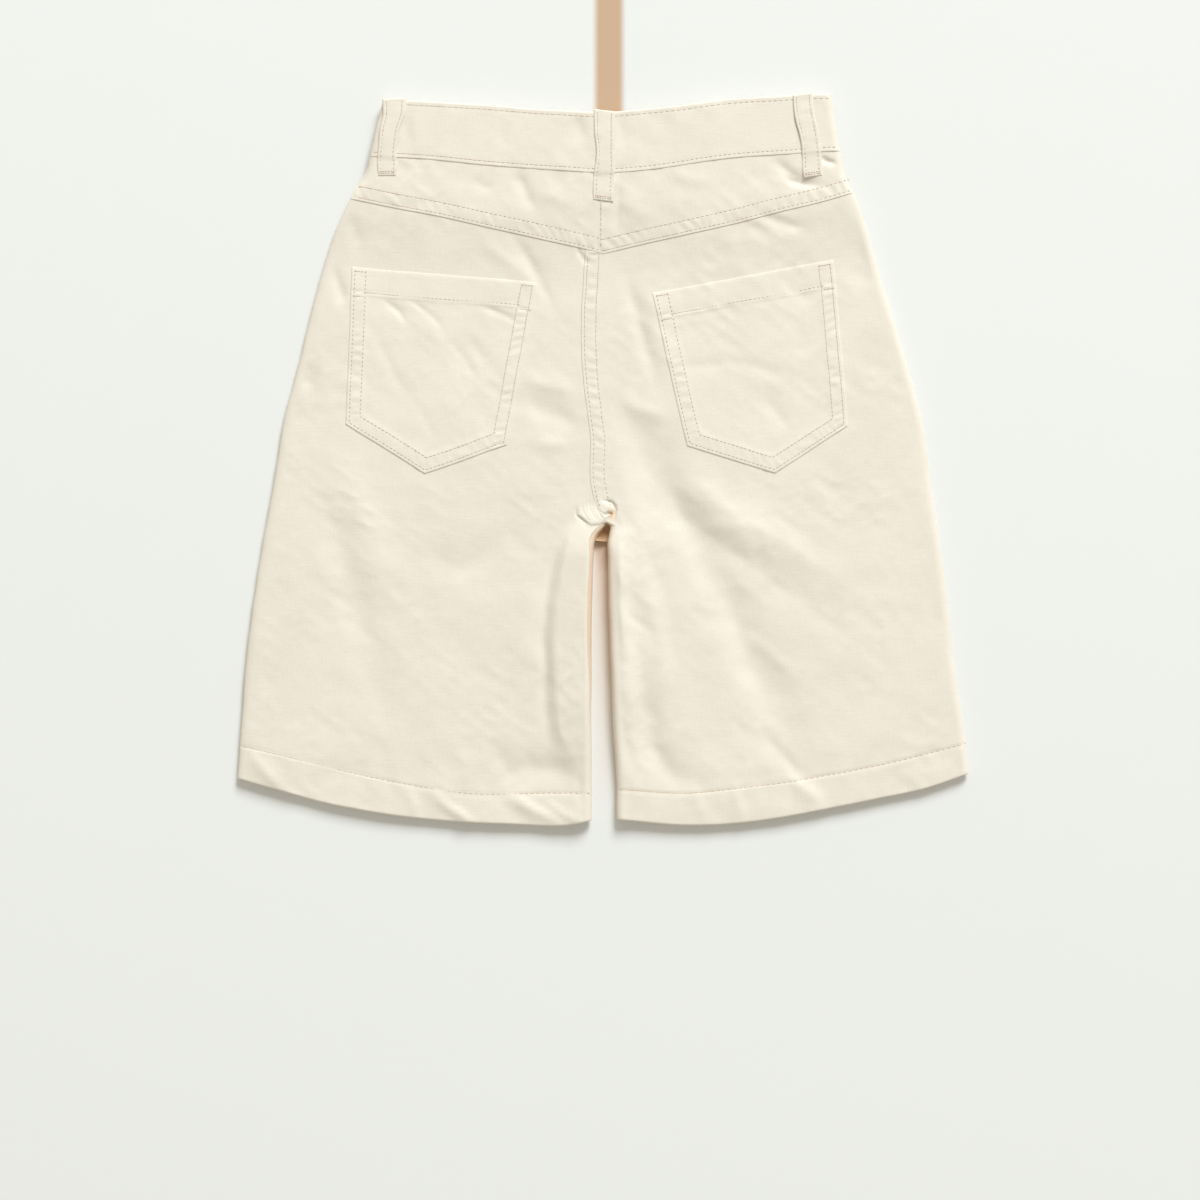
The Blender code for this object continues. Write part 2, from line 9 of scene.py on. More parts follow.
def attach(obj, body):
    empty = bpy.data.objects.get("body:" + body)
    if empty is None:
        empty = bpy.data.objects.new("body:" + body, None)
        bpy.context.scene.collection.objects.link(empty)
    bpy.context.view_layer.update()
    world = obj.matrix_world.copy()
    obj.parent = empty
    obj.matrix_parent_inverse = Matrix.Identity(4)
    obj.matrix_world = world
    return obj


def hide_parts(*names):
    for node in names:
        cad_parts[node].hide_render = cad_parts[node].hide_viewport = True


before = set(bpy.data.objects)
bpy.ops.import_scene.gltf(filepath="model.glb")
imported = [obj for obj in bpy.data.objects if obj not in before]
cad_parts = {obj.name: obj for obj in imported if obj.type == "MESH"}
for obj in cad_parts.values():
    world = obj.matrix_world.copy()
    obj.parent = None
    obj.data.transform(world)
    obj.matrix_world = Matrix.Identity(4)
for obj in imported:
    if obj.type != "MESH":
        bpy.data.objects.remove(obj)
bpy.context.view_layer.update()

mm = 0.001
print("frame loaded:", len(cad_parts), "nodes")

# The cut, in millimetres. Smooth curves run through the rows.
cut = {
    "cloth": 1.2, "hemWall": 2.3, "hemDepth": 21.5, "bandWall": 2.0, "gap": 0.06, "thick": 5.5, "turn": 5.0,
    "legRise": 5.5, "legRiseWidth": 15.0, "foldShare": 0.75, "foldSoft": 4.5, "foldSoftAtHem": 12,
    "frontCrotch": -54.0, "knotTurn": 1.5, "knotReach": (8, 16),
    "waistLift": 3.0, "liftFrom": 120.0, "liftTo": 176.0,
}
outline = {
    "side": {
        "y": (241, 216, 201, 190, 174, 158, 132, 105, 66, 26, -13, -53, -92, -132, -172, -214),
        "left": (-144, -149.5, -153, -155.5, -165.4, -173, -182.8, -190.6, -199.8, -210.4, -217,
                 -223.8, -230, -235.2, -238.4, -241.3),
        "right": (150, 154, 156.3, 158.8, 166, 171.7, 178.9, 187.6, 199.4, 209.8, 215.8,
                  221.6, 226.8, 230.9, 237, 241.3),
    },
    "waistTop": {"x": (-160, -95, -35, 0, 35, 66, 125, 165),
                 "y": (238, 234.2, 230.2, 228.4, 231.2, 235.2, 239.7, 240.9)},
    "waistSeam": {"x": (-170, -133, -77, -30, 0, 30, 66, 130, 170),
                  "y": (199.6, 198.6, 193.4, 190, 188.4, 190.6, 196, 201.5, 203)},
    "yokeLeft": {"x": (-166, -112, -58, -17, 0), "y": (171.3, 160.4, 148.8, 139.6, 135.3)},
    "yokeRight": {"x": (0, 44, 83, 130, 166), "y": (135.3, 145.6, 154.4, 165.8, 175.9)},
    "hemLeft": {"x": (-241.3, -219, -185, -152, -110, -68, -19, -7),
                "y": (-210, -216.5, -225.8, -232.2, -237.5, -239.8, -240.3, -237.5)},
    "hemRight": {"x": (9, 57, 94, 135, 179, 215, 241.3),
                 "y": (-237, -240.8, -238.8, -232.8, -224, -216, -207)},
    "hemRowLeft": {"x": (-241, -231, -185.5, -134.9, -84.5, -50.8, -8.6),
                   "y": (-188, -190, -201.3, -212.3, -219.8, -219.8, -219.1)},
    "hemRowRight": {"x": (11.2, 55.4, 90.9, 136.9, 188.1, 239.4),
                    "y": (-217, -219.6, -216, -209.9, -200, -186.8)},
    "seatSeam": {"y": (240, 137, 40, 15, -18, -34, -42), "x": (-0.5, -12.2, -12, -8.6, -8, -3, 2)},
    "fly": {"y": (240, 188, 60, 0, -42, -45, -49, -54), "x": (0, 0, 0, 0.6, 2, 0.4, -3.4, -5.6)},
    "crotch": (2.0, -42.0),
    "inseamLeft": {"y": (-42, -43, -45, -48, -51, -55, -65, -90, -158, -209, -240),
                   "x": (2, 1.4, 0, -2.6, -4.4, -5.6, -6.2, -7, -7.4, -7.3, -7.3)},
    "inseamRight": {"y": (-42, -43, -45, -48, -55, -65, -90, -120, -178, -209, -240),
                    "x": (2, 3.8, 4.4, 4.0, 2.7, 3.0, 3.3, 4.3, 6.9, 8.9, 8.9)},
    "legFold": {"y": (-34, -48, -77, -114, -157, -185, -215),
                "x": (-14.5, -23, -31.5, -35, -34.4, -31, -26)},
    "roll": {"y": (-42, -43, -44.5, -48, -52, -58, -90, -140, -175, -240),
             "angle": (0, 55, 76, 80, 78, 68, 66, 50, 0, 0)},
}
# Seams: how far each row of stitches lies from the edge that it holds down, the furrow under a row,
# the twisted puckers between two rows, and the steps where one cloth lies on another
sewing = {
    "rowNear": 2.2, "rowFar": 9.5, "waistRow": 2.8, "topRow": 3.0, "frontWaistRow": 2.6, "frontTopRow": 3.2,
    "furrow": 0.07, "furrowWidth": 0.7, "rope": 0.34, "ropePitch": 6.4, "pucker": 0.6,
    "bandStep": 0.45, "yokeStep": 0.4, "seatStep": 0.2, "hemStep": 0.16, "rim": 0.5, "stepFade": (6, 30),
    "yokeSlope": 0.975, "pathStep": 0.8,
}


def throughRows(rows, key, value, at):
    # smooth curve through the rows, read at one number or at an array of them
    keys = np.array(rows[key], float)
    values = np.array(rows[value], float)
    order = np.argsort(keys)
    keys, values = keys[order], values[order]
    slopes = np.gradient(values, keys)
    at = np.clip(np.asarray(at, float), keys[0], keys[-1])
    i = np.clip(np.searchsorted(keys, at) - 1, 0, len(keys) - 2)
    span = keys[i + 1] - keys[i]
    u = (at - keys[i]) / span
    start = (1 + 2 * u) * (1 - u) ** 2 * values[i] + u * (1 - u) ** 2 * span * slopes[i]
    end = u ** 2 * (3 - 2 * u) * values[i + 1] + u ** 2 * (u - 1) * span * slopes[i + 1]
    return start + end


def easeBetween(low, high, at):
    u = np.clip((np.asarray(at, float) - low) / (high - low), 0, 1)
    return u * u * (3 - 2 * u)


def sideX(y, hand):
    return throughRows(outline["side"], "y", hand, y)


def waistTopY(x):
    return throughRows(outline["waistTop"], "x", "y", x)


def waistSeamY(x):
    return throughRows(outline["waistSeam"], "x", "y", x)


def yokeSeamY(x):
    left = throughRows(outline["yokeLeft"], "x", "y", x)
    right = throughRows(outline["yokeRight"], "x", "y", x)
    return np.where(np.asarray(x) < 0, left, right)


def hemY(x):
    left = throughRows(outline["hemLeft"], "x", "y", x)
    right = throughRows(outline["hemRight"], "x", "y", x)
    return np.where(np.asarray(x) < 0, left, right)


def hemRowY(x):
    left = throughRows(outline["hemRowLeft"], "x", "y", x)
    right = throughRows(outline["hemRowRight"], "x", "y", x)
    return np.where(np.asarray(x) < 0, left, right)


def seatSeamX(y):
    return throughRows(outline["seatSeam"], "y", "x", y)


def flyX(y):
    return throughRows(outline["fly"], "y", "x", y)


def inseamX(y, hand):
    return throughRows(outline["inseam" + hand.capitalize()], "y", "x", y)


def roundRim(distance, radius):
    # height share of a folded edge, full once the edge is a radius away
    return np.sqrt(np.clip(1 - (1 - np.clip(distance / radius, 0, 1)) ** 2, 0.05, 1))


def turnReach(x, y):
    # how far in from the fold edge the cloth is still turning: little at the crotch's knot
    fromCrotch = np.hypot(x - outline["crotch"][0], y - outline["crotch"][1])
    return cut["knotTurn"] + (cut["turn"] - cut["knotTurn"]) * easeBetween(*cut["knotReach"], fromCrotch)


def makeEdgeFinder():
    # nearest place on the edges where the back turns into the front
    crotchX, crotchY = outline["crotch"]
    sideY = np.arange(-216.0, 242.0, 0.2)
    legY = np.arange(-242.0, crotchY, 0.1)
    runs = ((sideX(sideY, "left"), sideY, -1), (sideX(sideY, "right"), sideY, 1),
            (inseamX(legY, "left"), legY, 1), (inseamX(legY, "right"), legY, -1))
    points, outs = [np.array([[crotchX, crotchY]])], [np.array([[0.0, -1.0]])]
    for x, y, turn in runs:
        slope = np.gradient(x, y)
        length = np.hypot(1, slope)
        points.append(np.column_stack((x, y)))
        outs.append(np.column_stack((turn / length, -turn * slope / length)))
    points, outs = np.vstack(points), np.vstack(outs)
    tree = KDTree(len(points))
    for i, (x, y) in enumerate(points):
        tree.insert((x, y, 0), i)
    tree.balance()
    return tree, points, outs


edgeTree, edgePoints, edgeOuts = makeEdgeFinder()
onEdge = 0.6   # closer than this the edge's own outward direction holds


def toEdge(x, y):
    # distance to the nearest fold edge, and the direction towards it
    flatX, flatY = np.ravel(x), np.ravel(y)
    nearest = np.array([edgeTree.find((a, b, 0))[1] for a, b in zip(flatX, flatY)])
    away = edgePoints[nearest] - np.column_stack((flatX, flatY))
    distance = np.hypot(away[:, 0], away[:, 1])
    straight = away / np.maximum(distance, onEdge)[:, None]
    towards = np.where((distance < onEdge)[:, None], edgeOuts[nearest], straight)
    fromCrotch = np.hypot(flatX - outline["crotch"][0], flatY - outline["crotch"][1])
    towards[:, 1] *= 1 - easeBetween(*cut["knotReach"], fromCrotch)
    towards /= np.linalg.norm(towards, axis=1)[:, None]
    return distance.reshape(np.shape(x)), towards.reshape(*np.shape(x), 2)


def softNoise(x, y, size, seed):
    # smooth random field, about -1 to 1, with bumps of the given size
    grid = np.random.default_rng(seed).uniform(-1, 1, (64, 64))
    u, v = np.asarray(x, float) / size + 17.3, np.asarray(y, float) / size + 9.7
    i, j = np.floor(u).astype(int), np.floor(v).astype(int)
    fu, fv = u - i, v - j
    fu, fv = fu * fu * (3 - 2 * fu), fv * fv * (3 - 2 * fv)
    low = grid[i % 64, j % 64] * (1 - fu) + grid[(i + 1) % 64, j % 64] * fu
    high = grid[i % 64, (j + 1) % 64] * (1 - fu) + grid[(i + 1) % 64, (j + 1) % 64] * fu
    return low * (1 - fv) + high * fv


# Creases of the back: path, rise in mm, width to the left and right of the way down the path.
# A rise below zero is a trough.
creaseColumns = ("path", "rise", "left", "right")
creaseGain = 1.5
creases = (
    # left leg
    (((-17, -32), (-27, -52), (-35, -80), (-39, -115), (-38.5, -157), (-34, -190)), -0.45, 6, 3),
    (((-44, -60), (-52, -110), (-50, -160)), 0.5, 9, 9),
    (((-193, -13), (-172, -63), (-158, -120), (-146, -168)), -1.0, 14, 10),
    (((-176, 0), (-154, -52), (-146, -100)), 0.7, 12, 10),
    (((-120, -62), (-92, -72), (-62, -50)), -0.7, 9, 9),
    (((-60, -205), (-38, -203), (-14, -212)), -1.2, 9, 10),
    (((-70, -190), (-56, -212)), -0.6, 6, 6),
    (((-112, -219), (-96, -232), (-84, -240)), 1.1, 2.6, 5),
    (((-60, -222), (-44, -232), (-26, -240)), 1.0, 2.4, 5),
    (((-40, -224), (-26, -233), (-14, -239)), 0.8, 2.2, 4),
    (((-234, -192), (-222, -206), (-214, -216)), 0.8, 3, 5),
    (((-128, -216), (-122, -234)), 0.5, 3, 4),
    # right leg
    (((13, -24), (34, -32), (62, -44), (94, -68), (130, -94), (158, -114)), -0.7, 8, 10),
    (((22, -50), (36, -76), (45, -108), (46, -150)), -0.6, 6, 9),
    (((10, 7), (19, -40), (29, -82), (37, -129), (48, -178)), 1.6, 12, 15),
    (((8, 40), (32, -3), (57, -43), (77, -82), (94, -122), (114, -165), (132, -203)), -2.0, 14, 12),
    (((46, -3), (80, -36), (117, -56), (151, -76)), 1.2, 8, 12),
    (((9, -52), (12, -90), (16, -135), (20, -180)), 1.6, 6, 7),
    (((24, -150), (32, -190), (48, -208), (62, -214)), -1.3, 8, 9),
    (((12, -170), (18, -205)), -0.6, 6, 6),
    (((102, -176), (120, -196), (132, -208)), -0.7, 3.5, 5),
    (((122, -205), (134, -218), (142, -228)), 0.8, 3, 5),
    (((60, -214), (66, -236)), 0.5, 4, 4),
    (((86, -216), (92, -236)), 0.5, 3, 5),
    (((12, -99), (28, -110), (36, -122)), -0.4, 3, 4),
    (((18, -84), (34, -96)), 0.3, 3, 4),
    (((90, -112), (112, -130), (126, -140)), 0.4, 4, 6),
    # seat
    (((-17, 141), (-16, 136), (-12, 131), (-6, 129)), -0.6, 1.2, 1.5),
    (((-58, 52), (-40, 50), (-18, 42)), 0.55, 7, 6),
    (((-54, 36), (-34, 30), (-14, 22)), -0.65, 6, 6),
    (((-46, 14), (-30, 10), (-20, 12)), 0.5, 5, 5),
    (((16, 122), (22, 96), (30, 70), (36, 48)), -0.8, 4, 5),
    (((28, 116), (36, 80), (46, 52)), 0.6, 8, 5),
    (((8, 44), (24, 34), (46, 28)), 0.6, 6, 6),
    (((-82, 146), (-62, 130), (-44, 116)), 0.4, 4, 5),
    (((-60, 148), (-48, 130), (-38, 112), (-34, 100)), -0.7, 4, 4),
    (((-168, 162), (-160, 140)), -0.5, 4, 5),
    (((-178, 128), (-170, 100)), -0.8, 3, 4),
    (((-198, 66), (-192, 46)), -0.9, 6, 6),
    (((106, 160), (124, 154), (134, 151)), -0.6, 3, 4),
    (((86, 158), (104, 150)), -0.4, 3, 4),
    (((168, 146), (172, 110)), -0.5, 6, 8),
    # pockets
    (((-144, 106), (-128, 94)), -0.4, 3, 3),
    (((-152, 86), (-138, 58), (-124, 36)), -0.3, 4, 4),
    (((-124, 36), (-108, 12)), -0.28, 4, 4),
    (((-142, 104), (-134, 97), (-129, 90)), -0.5, 1.4, 1.8),
    (((-128, 106), (-112, 94), (-104, 84)), -0.35, 2, 2),
    (((-80, 100), (-66, 96), (-56, 90)), -0.5, 2, 2.4),
    (((-100, 76), (-88, 64), (-84, 52)), -0.3, 2.5, 3),
    (((-88, 80), (-76, 62)), -0.35, 4, 4),
    (((-120, 92), (-104, 70)), 0.3, 6, 6),
    (((54, 62), (84, 62)), -0.3, 4, 4),
    (((78, 66), (104, 60), (130, 52)), -0.35, 4, 5),
    (((106, 40), (122, 20)), -0.45, 5, 5),
    (((116, 118), (136, 104)), -0.4, 5, 6),
    # yoke
    (((142, 199), (147, 196), (156, 194)), -1.3, 1.5, 2),
    (((119, 187), (124, 183), (131, 181), (141, 180)), -0.9, 1.5, 2),
    (((12, 184), (10, 168), (9, 150)), -0.45, 2, 4),
    (((-58, 190), (-48, 170), (-42, 164)), -0.8, 4, 5),
    (((-42, 178), (-16, 164)), 0.5, 5, 5),
    (((110, 200), (128, 184), (146, 180)), -0.9, 3.5, 4),
    (((44, 188), (70, 182)), 0.4, 5, 5),
    (((-88, 186), (-72, 176)), -0.4, 5, 6),
    (((14, 172), (30, 158)), 0.4, 5, 5),
    # waistband
    (((-17, 226), (-12, 208)), -0.7, 3, 6),
    (((11, 228), (13, 206)), -0.6, 5, 3),
    (((-68, 218), (-64, 202)), -0.3, 4, 4),
    (((-129, 226), (-127, 204)), -0.6, 3, 4),
)


def pathHeight(rows, x, y, endShare=0.25):
    # ridges and troughs along listed paths, with soft ends and a slightly uneven line
    total = np.zeros(np.shape(x))
    for values in rows:
        crease = dict(zip(creaseColumns, values))
        path = np.array(crease["path"], float)
        lengths = np.hypot(*np.diff(path, axis=0).T)
        whole = lengths.sum()
        reach = 3 * max(crease["left"], crease["right"])
        low, high = path.min(axis=0) - reach, path.max(axis=0) + reach
        near = (x > low[0]) & (x < high[0]) & (y > low[1]) & (y < high[1])
        if not near.any():
            continue
        wobble = min(1.8, 0.08 * reach)
        px = x[near] + wobble * softNoise(x[near], y[near], 12, 5)
        py = y[near] + wobble * softNoise(x[near], y[near], 12, 6)
        best = np.full(px.shape, 1e9)
        across, along = np.zeros(px.shape), np.zeros(px.shape)
        done = 0.0
        for (ax, ay), (bx, by), length in zip(path[:-1], path[1:], lengths):
            tx, ty = (bx - ax) / length, (by - ay) / length
            run = np.clip((px - ax) * tx + (py - ay) * ty, 0, length)
            offX, offY = px - ax - run * tx, py - ay - run * ty
            gap = np.hypot(offX, offY)
            closer = gap < best
            best = np.where(closer, gap, best)
            across = np.where(closer, tx * offY - ty * offX, across)
            along = np.where(closer, done + run, along)
            done += length
        share = best / np.where(across > 0, crease["left"], crease["right"])
        fade = easeBetween(0, 0.3 * whole, along) * easeBetween(0, 0.3 * whole, whole - along)
        fade = endShare + (1 - endShare) * fade
        wander = 1 + 0.2 * softNoise(px, py, 16, 3)
        profile = 0.7 * np.exp(-share ** 2) + 0.3 * np.exp(-1.6 * (np.hypot(share, 0.35) - 0.35))
        total[near] += crease["rise"] * fade * wander * profile
    return total


crumpled = {
    "coarse": 0.18, "coarseSize": 9, "fine": 0.10, "fineSize": 5.5, "patchSize": 38,
    "swell": 0.3, "swellSize": 27, "dent": 0.12, "dentSize": 12,
}


def crumple(x, y):
    # small wrinkles of washed cotton: thin ridged lines, mostly on the slant
    slantX, slantY = 0.8 * x - 0.6 * y, 0.6 * x + 0.8 * y
    coarse = 1 - 2.4 * np.abs(softNoise(slantX * 0.55, slantY, crumpled["coarseSize"], 91))
    fine = 1 - 2.4 * np.abs(softNoise(slantX, slantY * 0.7, crumpled["fineSize"], 92))
    patches = 0.35 + 0.65 * easeBetween(-0.3, 0.6, softNoise(x, y, crumpled["patchSize"], 93))
    return patches * (crumpled["coarse"] * coarse + crumpled["fine"] * fine)


def waistLift(y):
    return cut["waistLift"] * easeBetween(cut["liftFrom"], cut["liftTo"], y)


def seamRows(distance, along, seed):
    # surface near a twin-needle seam: puffed cloth with a furrow under each row, twisted like rope
    near, far = sewing["rowNear"], sewing["rowFar"]
    furrow = np.exp(-((distance - near) / sewing["furrowWidth"]) ** 2)
    furrow += np.exp(-((distance - far) / sewing["furrowWidth"]) ** 2)
    band = easeBetween(-1, 0.6, distance) * (1 - easeBetween(far, far + 3, distance))
    turns = along / sewing["ropePitch"] + 0.05 * distance + 0.9 * softNoise(along, distance, 13, seed)
    wave = np.sin(2 * math.pi * turns)
    strength = 0.55 + sewing["pucker"] * softNoise(along, distance * 0.3, 12, seed + 1)
    tight = np.exp(-((distance - (near + far) / 2) / (0.42 * (far - near))) ** 4)
    return band * (0.05 + sewing["rope"] * wave * strength * tight) - sewing["furrow"] * furrow


def seamDetail(x, y):
    # thickness and stitching of the seams on the back panels, yokes and waistband
    waist = y - waistSeamY(x)
    inBand = easeBetween(-0.05, 0.05, waist)
    belowTop = waistTopY(x) - y
    rows = np.exp(-((waist - sewing["waistRow"]) / sewing["furrowWidth"]) ** 2)
    rows = rows + np.exp(-((belowTop - sewing["topRow"]) / sewing["furrowWidth"]) ** 2)
    band = sewing["bandStep"] * roundRim(waist, sewing["rim"]) - sewing["furrow"] * rows
    nearRows = 1 - easeBetween(2, 9, np.minimum(waist, belowTop))
    band = band + 0.22 * softNoise(x * 1.6, y * 0.35, 7, 21) * nearRows
    yoke = (y - yokeSeamY(x)) * sewing["yokeSlope"]
    inYoke = easeBetween(-0.05, 0.05, yoke)
    yokeFade = 1 - easeBetween(*sewing["stepFade"], yoke)
    yokeEdge = sewing["yokeStep"] * roundRim(yoke, sewing["rim"]) * yokeFade + seamRows(yoke, x, 31)
    middleSeam = -0.3 * np.exp(-((x + 3.2) / 1.0) ** 2) * easeBetween(1, 4, yoke)
    seat = x - seatSeamX(y)
    inRight = easeBetween(-0.05, 0.05, seat)
    seatFade = 1 - easeBetween(*sewing["stepFade"], seat)
    seatEdge = sewing["seatStep"] * roundRim(seat, sewing["rim"]) * seatFade + seamRows(seat, y, 41)
    seatEdge = seatEdge * easeBetween(-32, -18, y)
    hem = y - hemY(x)
    fromRow = y - hemRowY(x)
    hemLine = sewing["hemStep"] * (1 - easeBetween(-1.2, 0, fromRow)) - 0.22 * np.exp(-(fromRow / 0.8) ** 2)
    hemPucker = 0.35 * softNoise(x * 1.5, hem * 0.25, 9, 51) * np.exp(-((fromRow + 2) / 7) ** 2)
    slanted = softNoise(x + 0.8 * hem, hem * 0.3, 12, 52)
    hemPucker = hemPucker + 0.3 * slanted * (1 - easeBetween(10, 20, hem))
    panel = inRight * seatEdge + hemLine + hemPucker
    return inBand * band + (1 - inBand) * (inYoke * (yokeEdge + middleSeam) + (1 - inYoke) * panel)


# The crotch: the end of the seat seam, rolled up over the gap between the legs
knot = {"rise": 1.5, "soft": 1.5}
knotShape = ((-17.2, -28), (-17.4, -36.6), (-8, -43.8), (-2, -43.2), (2.2, -39.4), (5.2, -36.2),
             (7.4, -33), (6.6, -29.6), (2.6, -27.2), (-1, -27), (-1, -10), (-17.2, -10))
knotLines = (
    (((-1, -27.6), (2.3, -27), (5.5, -27.6), (7.7, -30.2), (8.3, -33.1), (7.4, -36.4), (5.3, -40.6)),
     -1.7, 0.7, 1.0),
    (((-5.4, -24), (-4.2, -32.4), (-1.2, -37.6), (1.6, -39.6)), -0.4, 0.6, 0.6),
    (((-7.4, -25), (-6.4, -32.4), (-3.2, -38.6), (0.4, -40.6)), -0.25, 0.5, 0.5),
    (((-9.8, -25), (-8.8, -33), (-5.2, -39), (-1.2, -41.6)), -0.4, 0.6, 0.6),
    (((-12, -26), (-10.8, -33.4), (-7.4, -39.4), (-3, -42.2)), -0.25, 0.5, 0.5),
    (((-14, -27.5), (-13.4, -33.7), (-10.2, -39), (-5.6, -42.6)), -0.35, 0.6, 0.7),
    (((-2.6, -27.7), (-2.9, -33), (0.4, -36.3), (3.3, -34.7), (2.9, -31)), -0.4, 0.6, 0.6),
    (((-0.6, -28.5), (-0.4, -32), (1.6, -33.6)), -0.25, 0.5, 0.5),
    (((0.3, -37.4), (3.2, -35), (5.0, -35.5), (6.2, -37)), -1.3, 0.8, 0.9),
    (((-17.4, -30.4), (-17.6, -36.6), (-13.2, -39.8), (-8.2, -44)), -0.9, 0.6, 0.8),
    (((-16.6, -39), (-12.6, -42.6), (-9, -45.6)), -0.4, 0.6, 0.8),
)


def shapeDistance(corners, x, y):
    # distance inwards from the rim of a closed shape, below zero outside it
    best, inside = np.full(x.shape, 1e9), np.zeros(x.shape, bool)
    for (ax, ay), (bx, by) in zip(corners, corners[1:] + corners[:1]):
        length = math.hypot(bx - ax, by - ay)
        run = np.clip(((x - ax) * (bx - ax) + (y - ay) * (by - ay)) / length, 0, length) / length
        best = np.minimum(best, np.hypot(x - ax - run * (bx - ax), y - ay - run * (by - ay)))
        if by != ay:
            inside ^= ((ay > y) != (by > y)) & (x < ax + (y - ay) * (bx - ax) / (by - ay))
    return np.where(inside, best, -best)


def knotHeight(x, y):
    total = pathHeight(knotLines, x, y, 0.0)
    near = (np.abs(x + 5) < 20) & (y > -50) & (y < -8)
    if near.any():
        u, v = x[near], y[near]
        depth = np.maximum(shapeDistance(knotShape, u, v), 0)
        toRight = easeBetween(-7, 1, u)
        rise = (1 - toRight) * (1 - easeBetween(-42, -27, v)) + toRight * (1 - easeBetween(-32, -21, v))
        total[near] += knot["rise"] * rise * (1 - np.exp(-depth / knot["soft"]))
    return total


def halfThick(x, y):
    # half the garment's height: the legs stand up beside the gap between them
    rise = cut["legRise"] * (1 - easeBetween(-64, -30, y)) * (0.4 + 0.6 * easeBetween(-225, -150, y))
    edgeY = np.minimum(y, -50)
    edge = inseamX(edgeY, "left")
    fold = throughRows(outline["legFold"], "y", "x", y)
    soft = cut["foldSoft"] + cut["foldSoftAtHem"] * (1 - easeBetween(-215, -175, y))
    left = cut["foldShare"] * easeBetween(fold - soft, fold + soft, x)
    left = left + (1 - cut["foldShare"]) * easeBetween(fold, edge, x)
    right = np.exp(-(np.maximum(x - inseamX(edgeY, "right"), 0) / cut["legRiseWidth"]) ** 2)
    return (cut["thick"] + rise * np.where(x < edge, left, right)) / 2


def backDetail(x, y, distance):
    settle = easeBetween(cut["turn"] * 0.4, cut["turn"] * 1.8, distance)
    broad = crumpled["swell"] * softNoise(x, y, crumpled["swellSize"], 63)
    broad = broad + crumpled["dent"] * softNoise(x, y, crumpled["dentSize"], 61)
    folds = creaseGain * pathHeight(creases, x, y)
    return seamDetail(x, y) + settle * (folds + broad + crumple(x, y)) + knotHeight(x, y)


def frontHollow(x, y, distance):
    # the underside lies on the floor, so it only has shallow hollows
    settle = easeBetween(cut["turn"], cut["turn"] * 3, distance)
    hollow = 0.35 * np.clip(softNoise(x, y, 34, 71), 0, 1) + 0.12 * np.clip(softNoise(x, y, 12, 72), 0, 1)
    hollow = hollow + 0.7 * np.clip(-pathHeight(creases, -x, y), 0, 2)
    rows = sewing["furrow"] * np.exp(-((y - hemRowY(x)) / 0.8) ** 2)
    rows = rows + 0.25 * np.exp(-((waistSeamY(x) - y + 0.2) / 1.4) ** 2)
    return settle * hollow + rows


def wallPoints(x, y, angle, wall, front=False):
    # outer and inner skin of a cloth wall
    # angle: how far round the fold edge, or beyond pi where the cloth is free of it
    distance, towards = toEdge(x, y)
    near = np.arccos(np.clip(1 - distance / turnReach(x, y), 0, 1))
    turn = np.where(np.abs(angle) > math.pi, np.sign(angle) * near, angle)
    back = np.maximum(np.sin(turn), 0)
    extra = backDetail(x, y, distance) * back if not front else np.zeros(np.shape(x))
    hollow = frontHollow(x, y, distance) * np.maximum(-np.sin(turn), 0)
    half = halfThick(x, y)
    middle = waistLift(y) + half
    outerZ = middle + half * np.sin(turn) + extra + hollow
    innerZ = middle + (half - wall) * np.sin(turn) + 0.85 * extra + hollow
    shift = towards * (wall * np.cos(turn))[..., None]
    if front:
        # the front is pressed down under the knot, from the left inseam on
        sunk = 1 - 0.85 * np.exp(-((x - 1) / 8) ** 2 - ((y + 48) / 9) ** 2)
        sunk = np.where(x < inseamX(y, "left"), 1.0, sunk)
        outerZ, innerZ = outerZ * sunk, innerZ * sunk
    outer = np.stack((x, y, outerZ), axis=-1)
    inner = np.stack((x - shift[..., 0], y - shift[..., 1], innerZ), axis=-1)
    return outer, inner


wander = {"wide": 0.45, "small": 0.18, "down": 0.4}


def drift(points):
    # cloth never lies on a drawn curve: everything wanders a little in plan, all pieces alike
    x, y = points[..., 0].copy(), points[..., 1].copy()
    points[..., 0] = x + wander["wide"] * softNoise(x, y, 30, 81) + wander["small"] * softNoise(x, y, 11, 82)
    points[..., 1] = y + wander["down"] * softNoise(x, y, 32, 83)
    return points


def backSurface(x, y):
    # outer height of the back, for what lies on it
    x, y = np.asarray(x, float), np.asarray(y, float)
    distance, _ = toEdge(x, y)
    near = np.sin(np.arccos(np.clip(1 - distance / turnReach(x, y), 0, 1)))
    return waistLift(y) + halfThick(x, y) * (1 + near) + backDetail(x, y, distance) * near


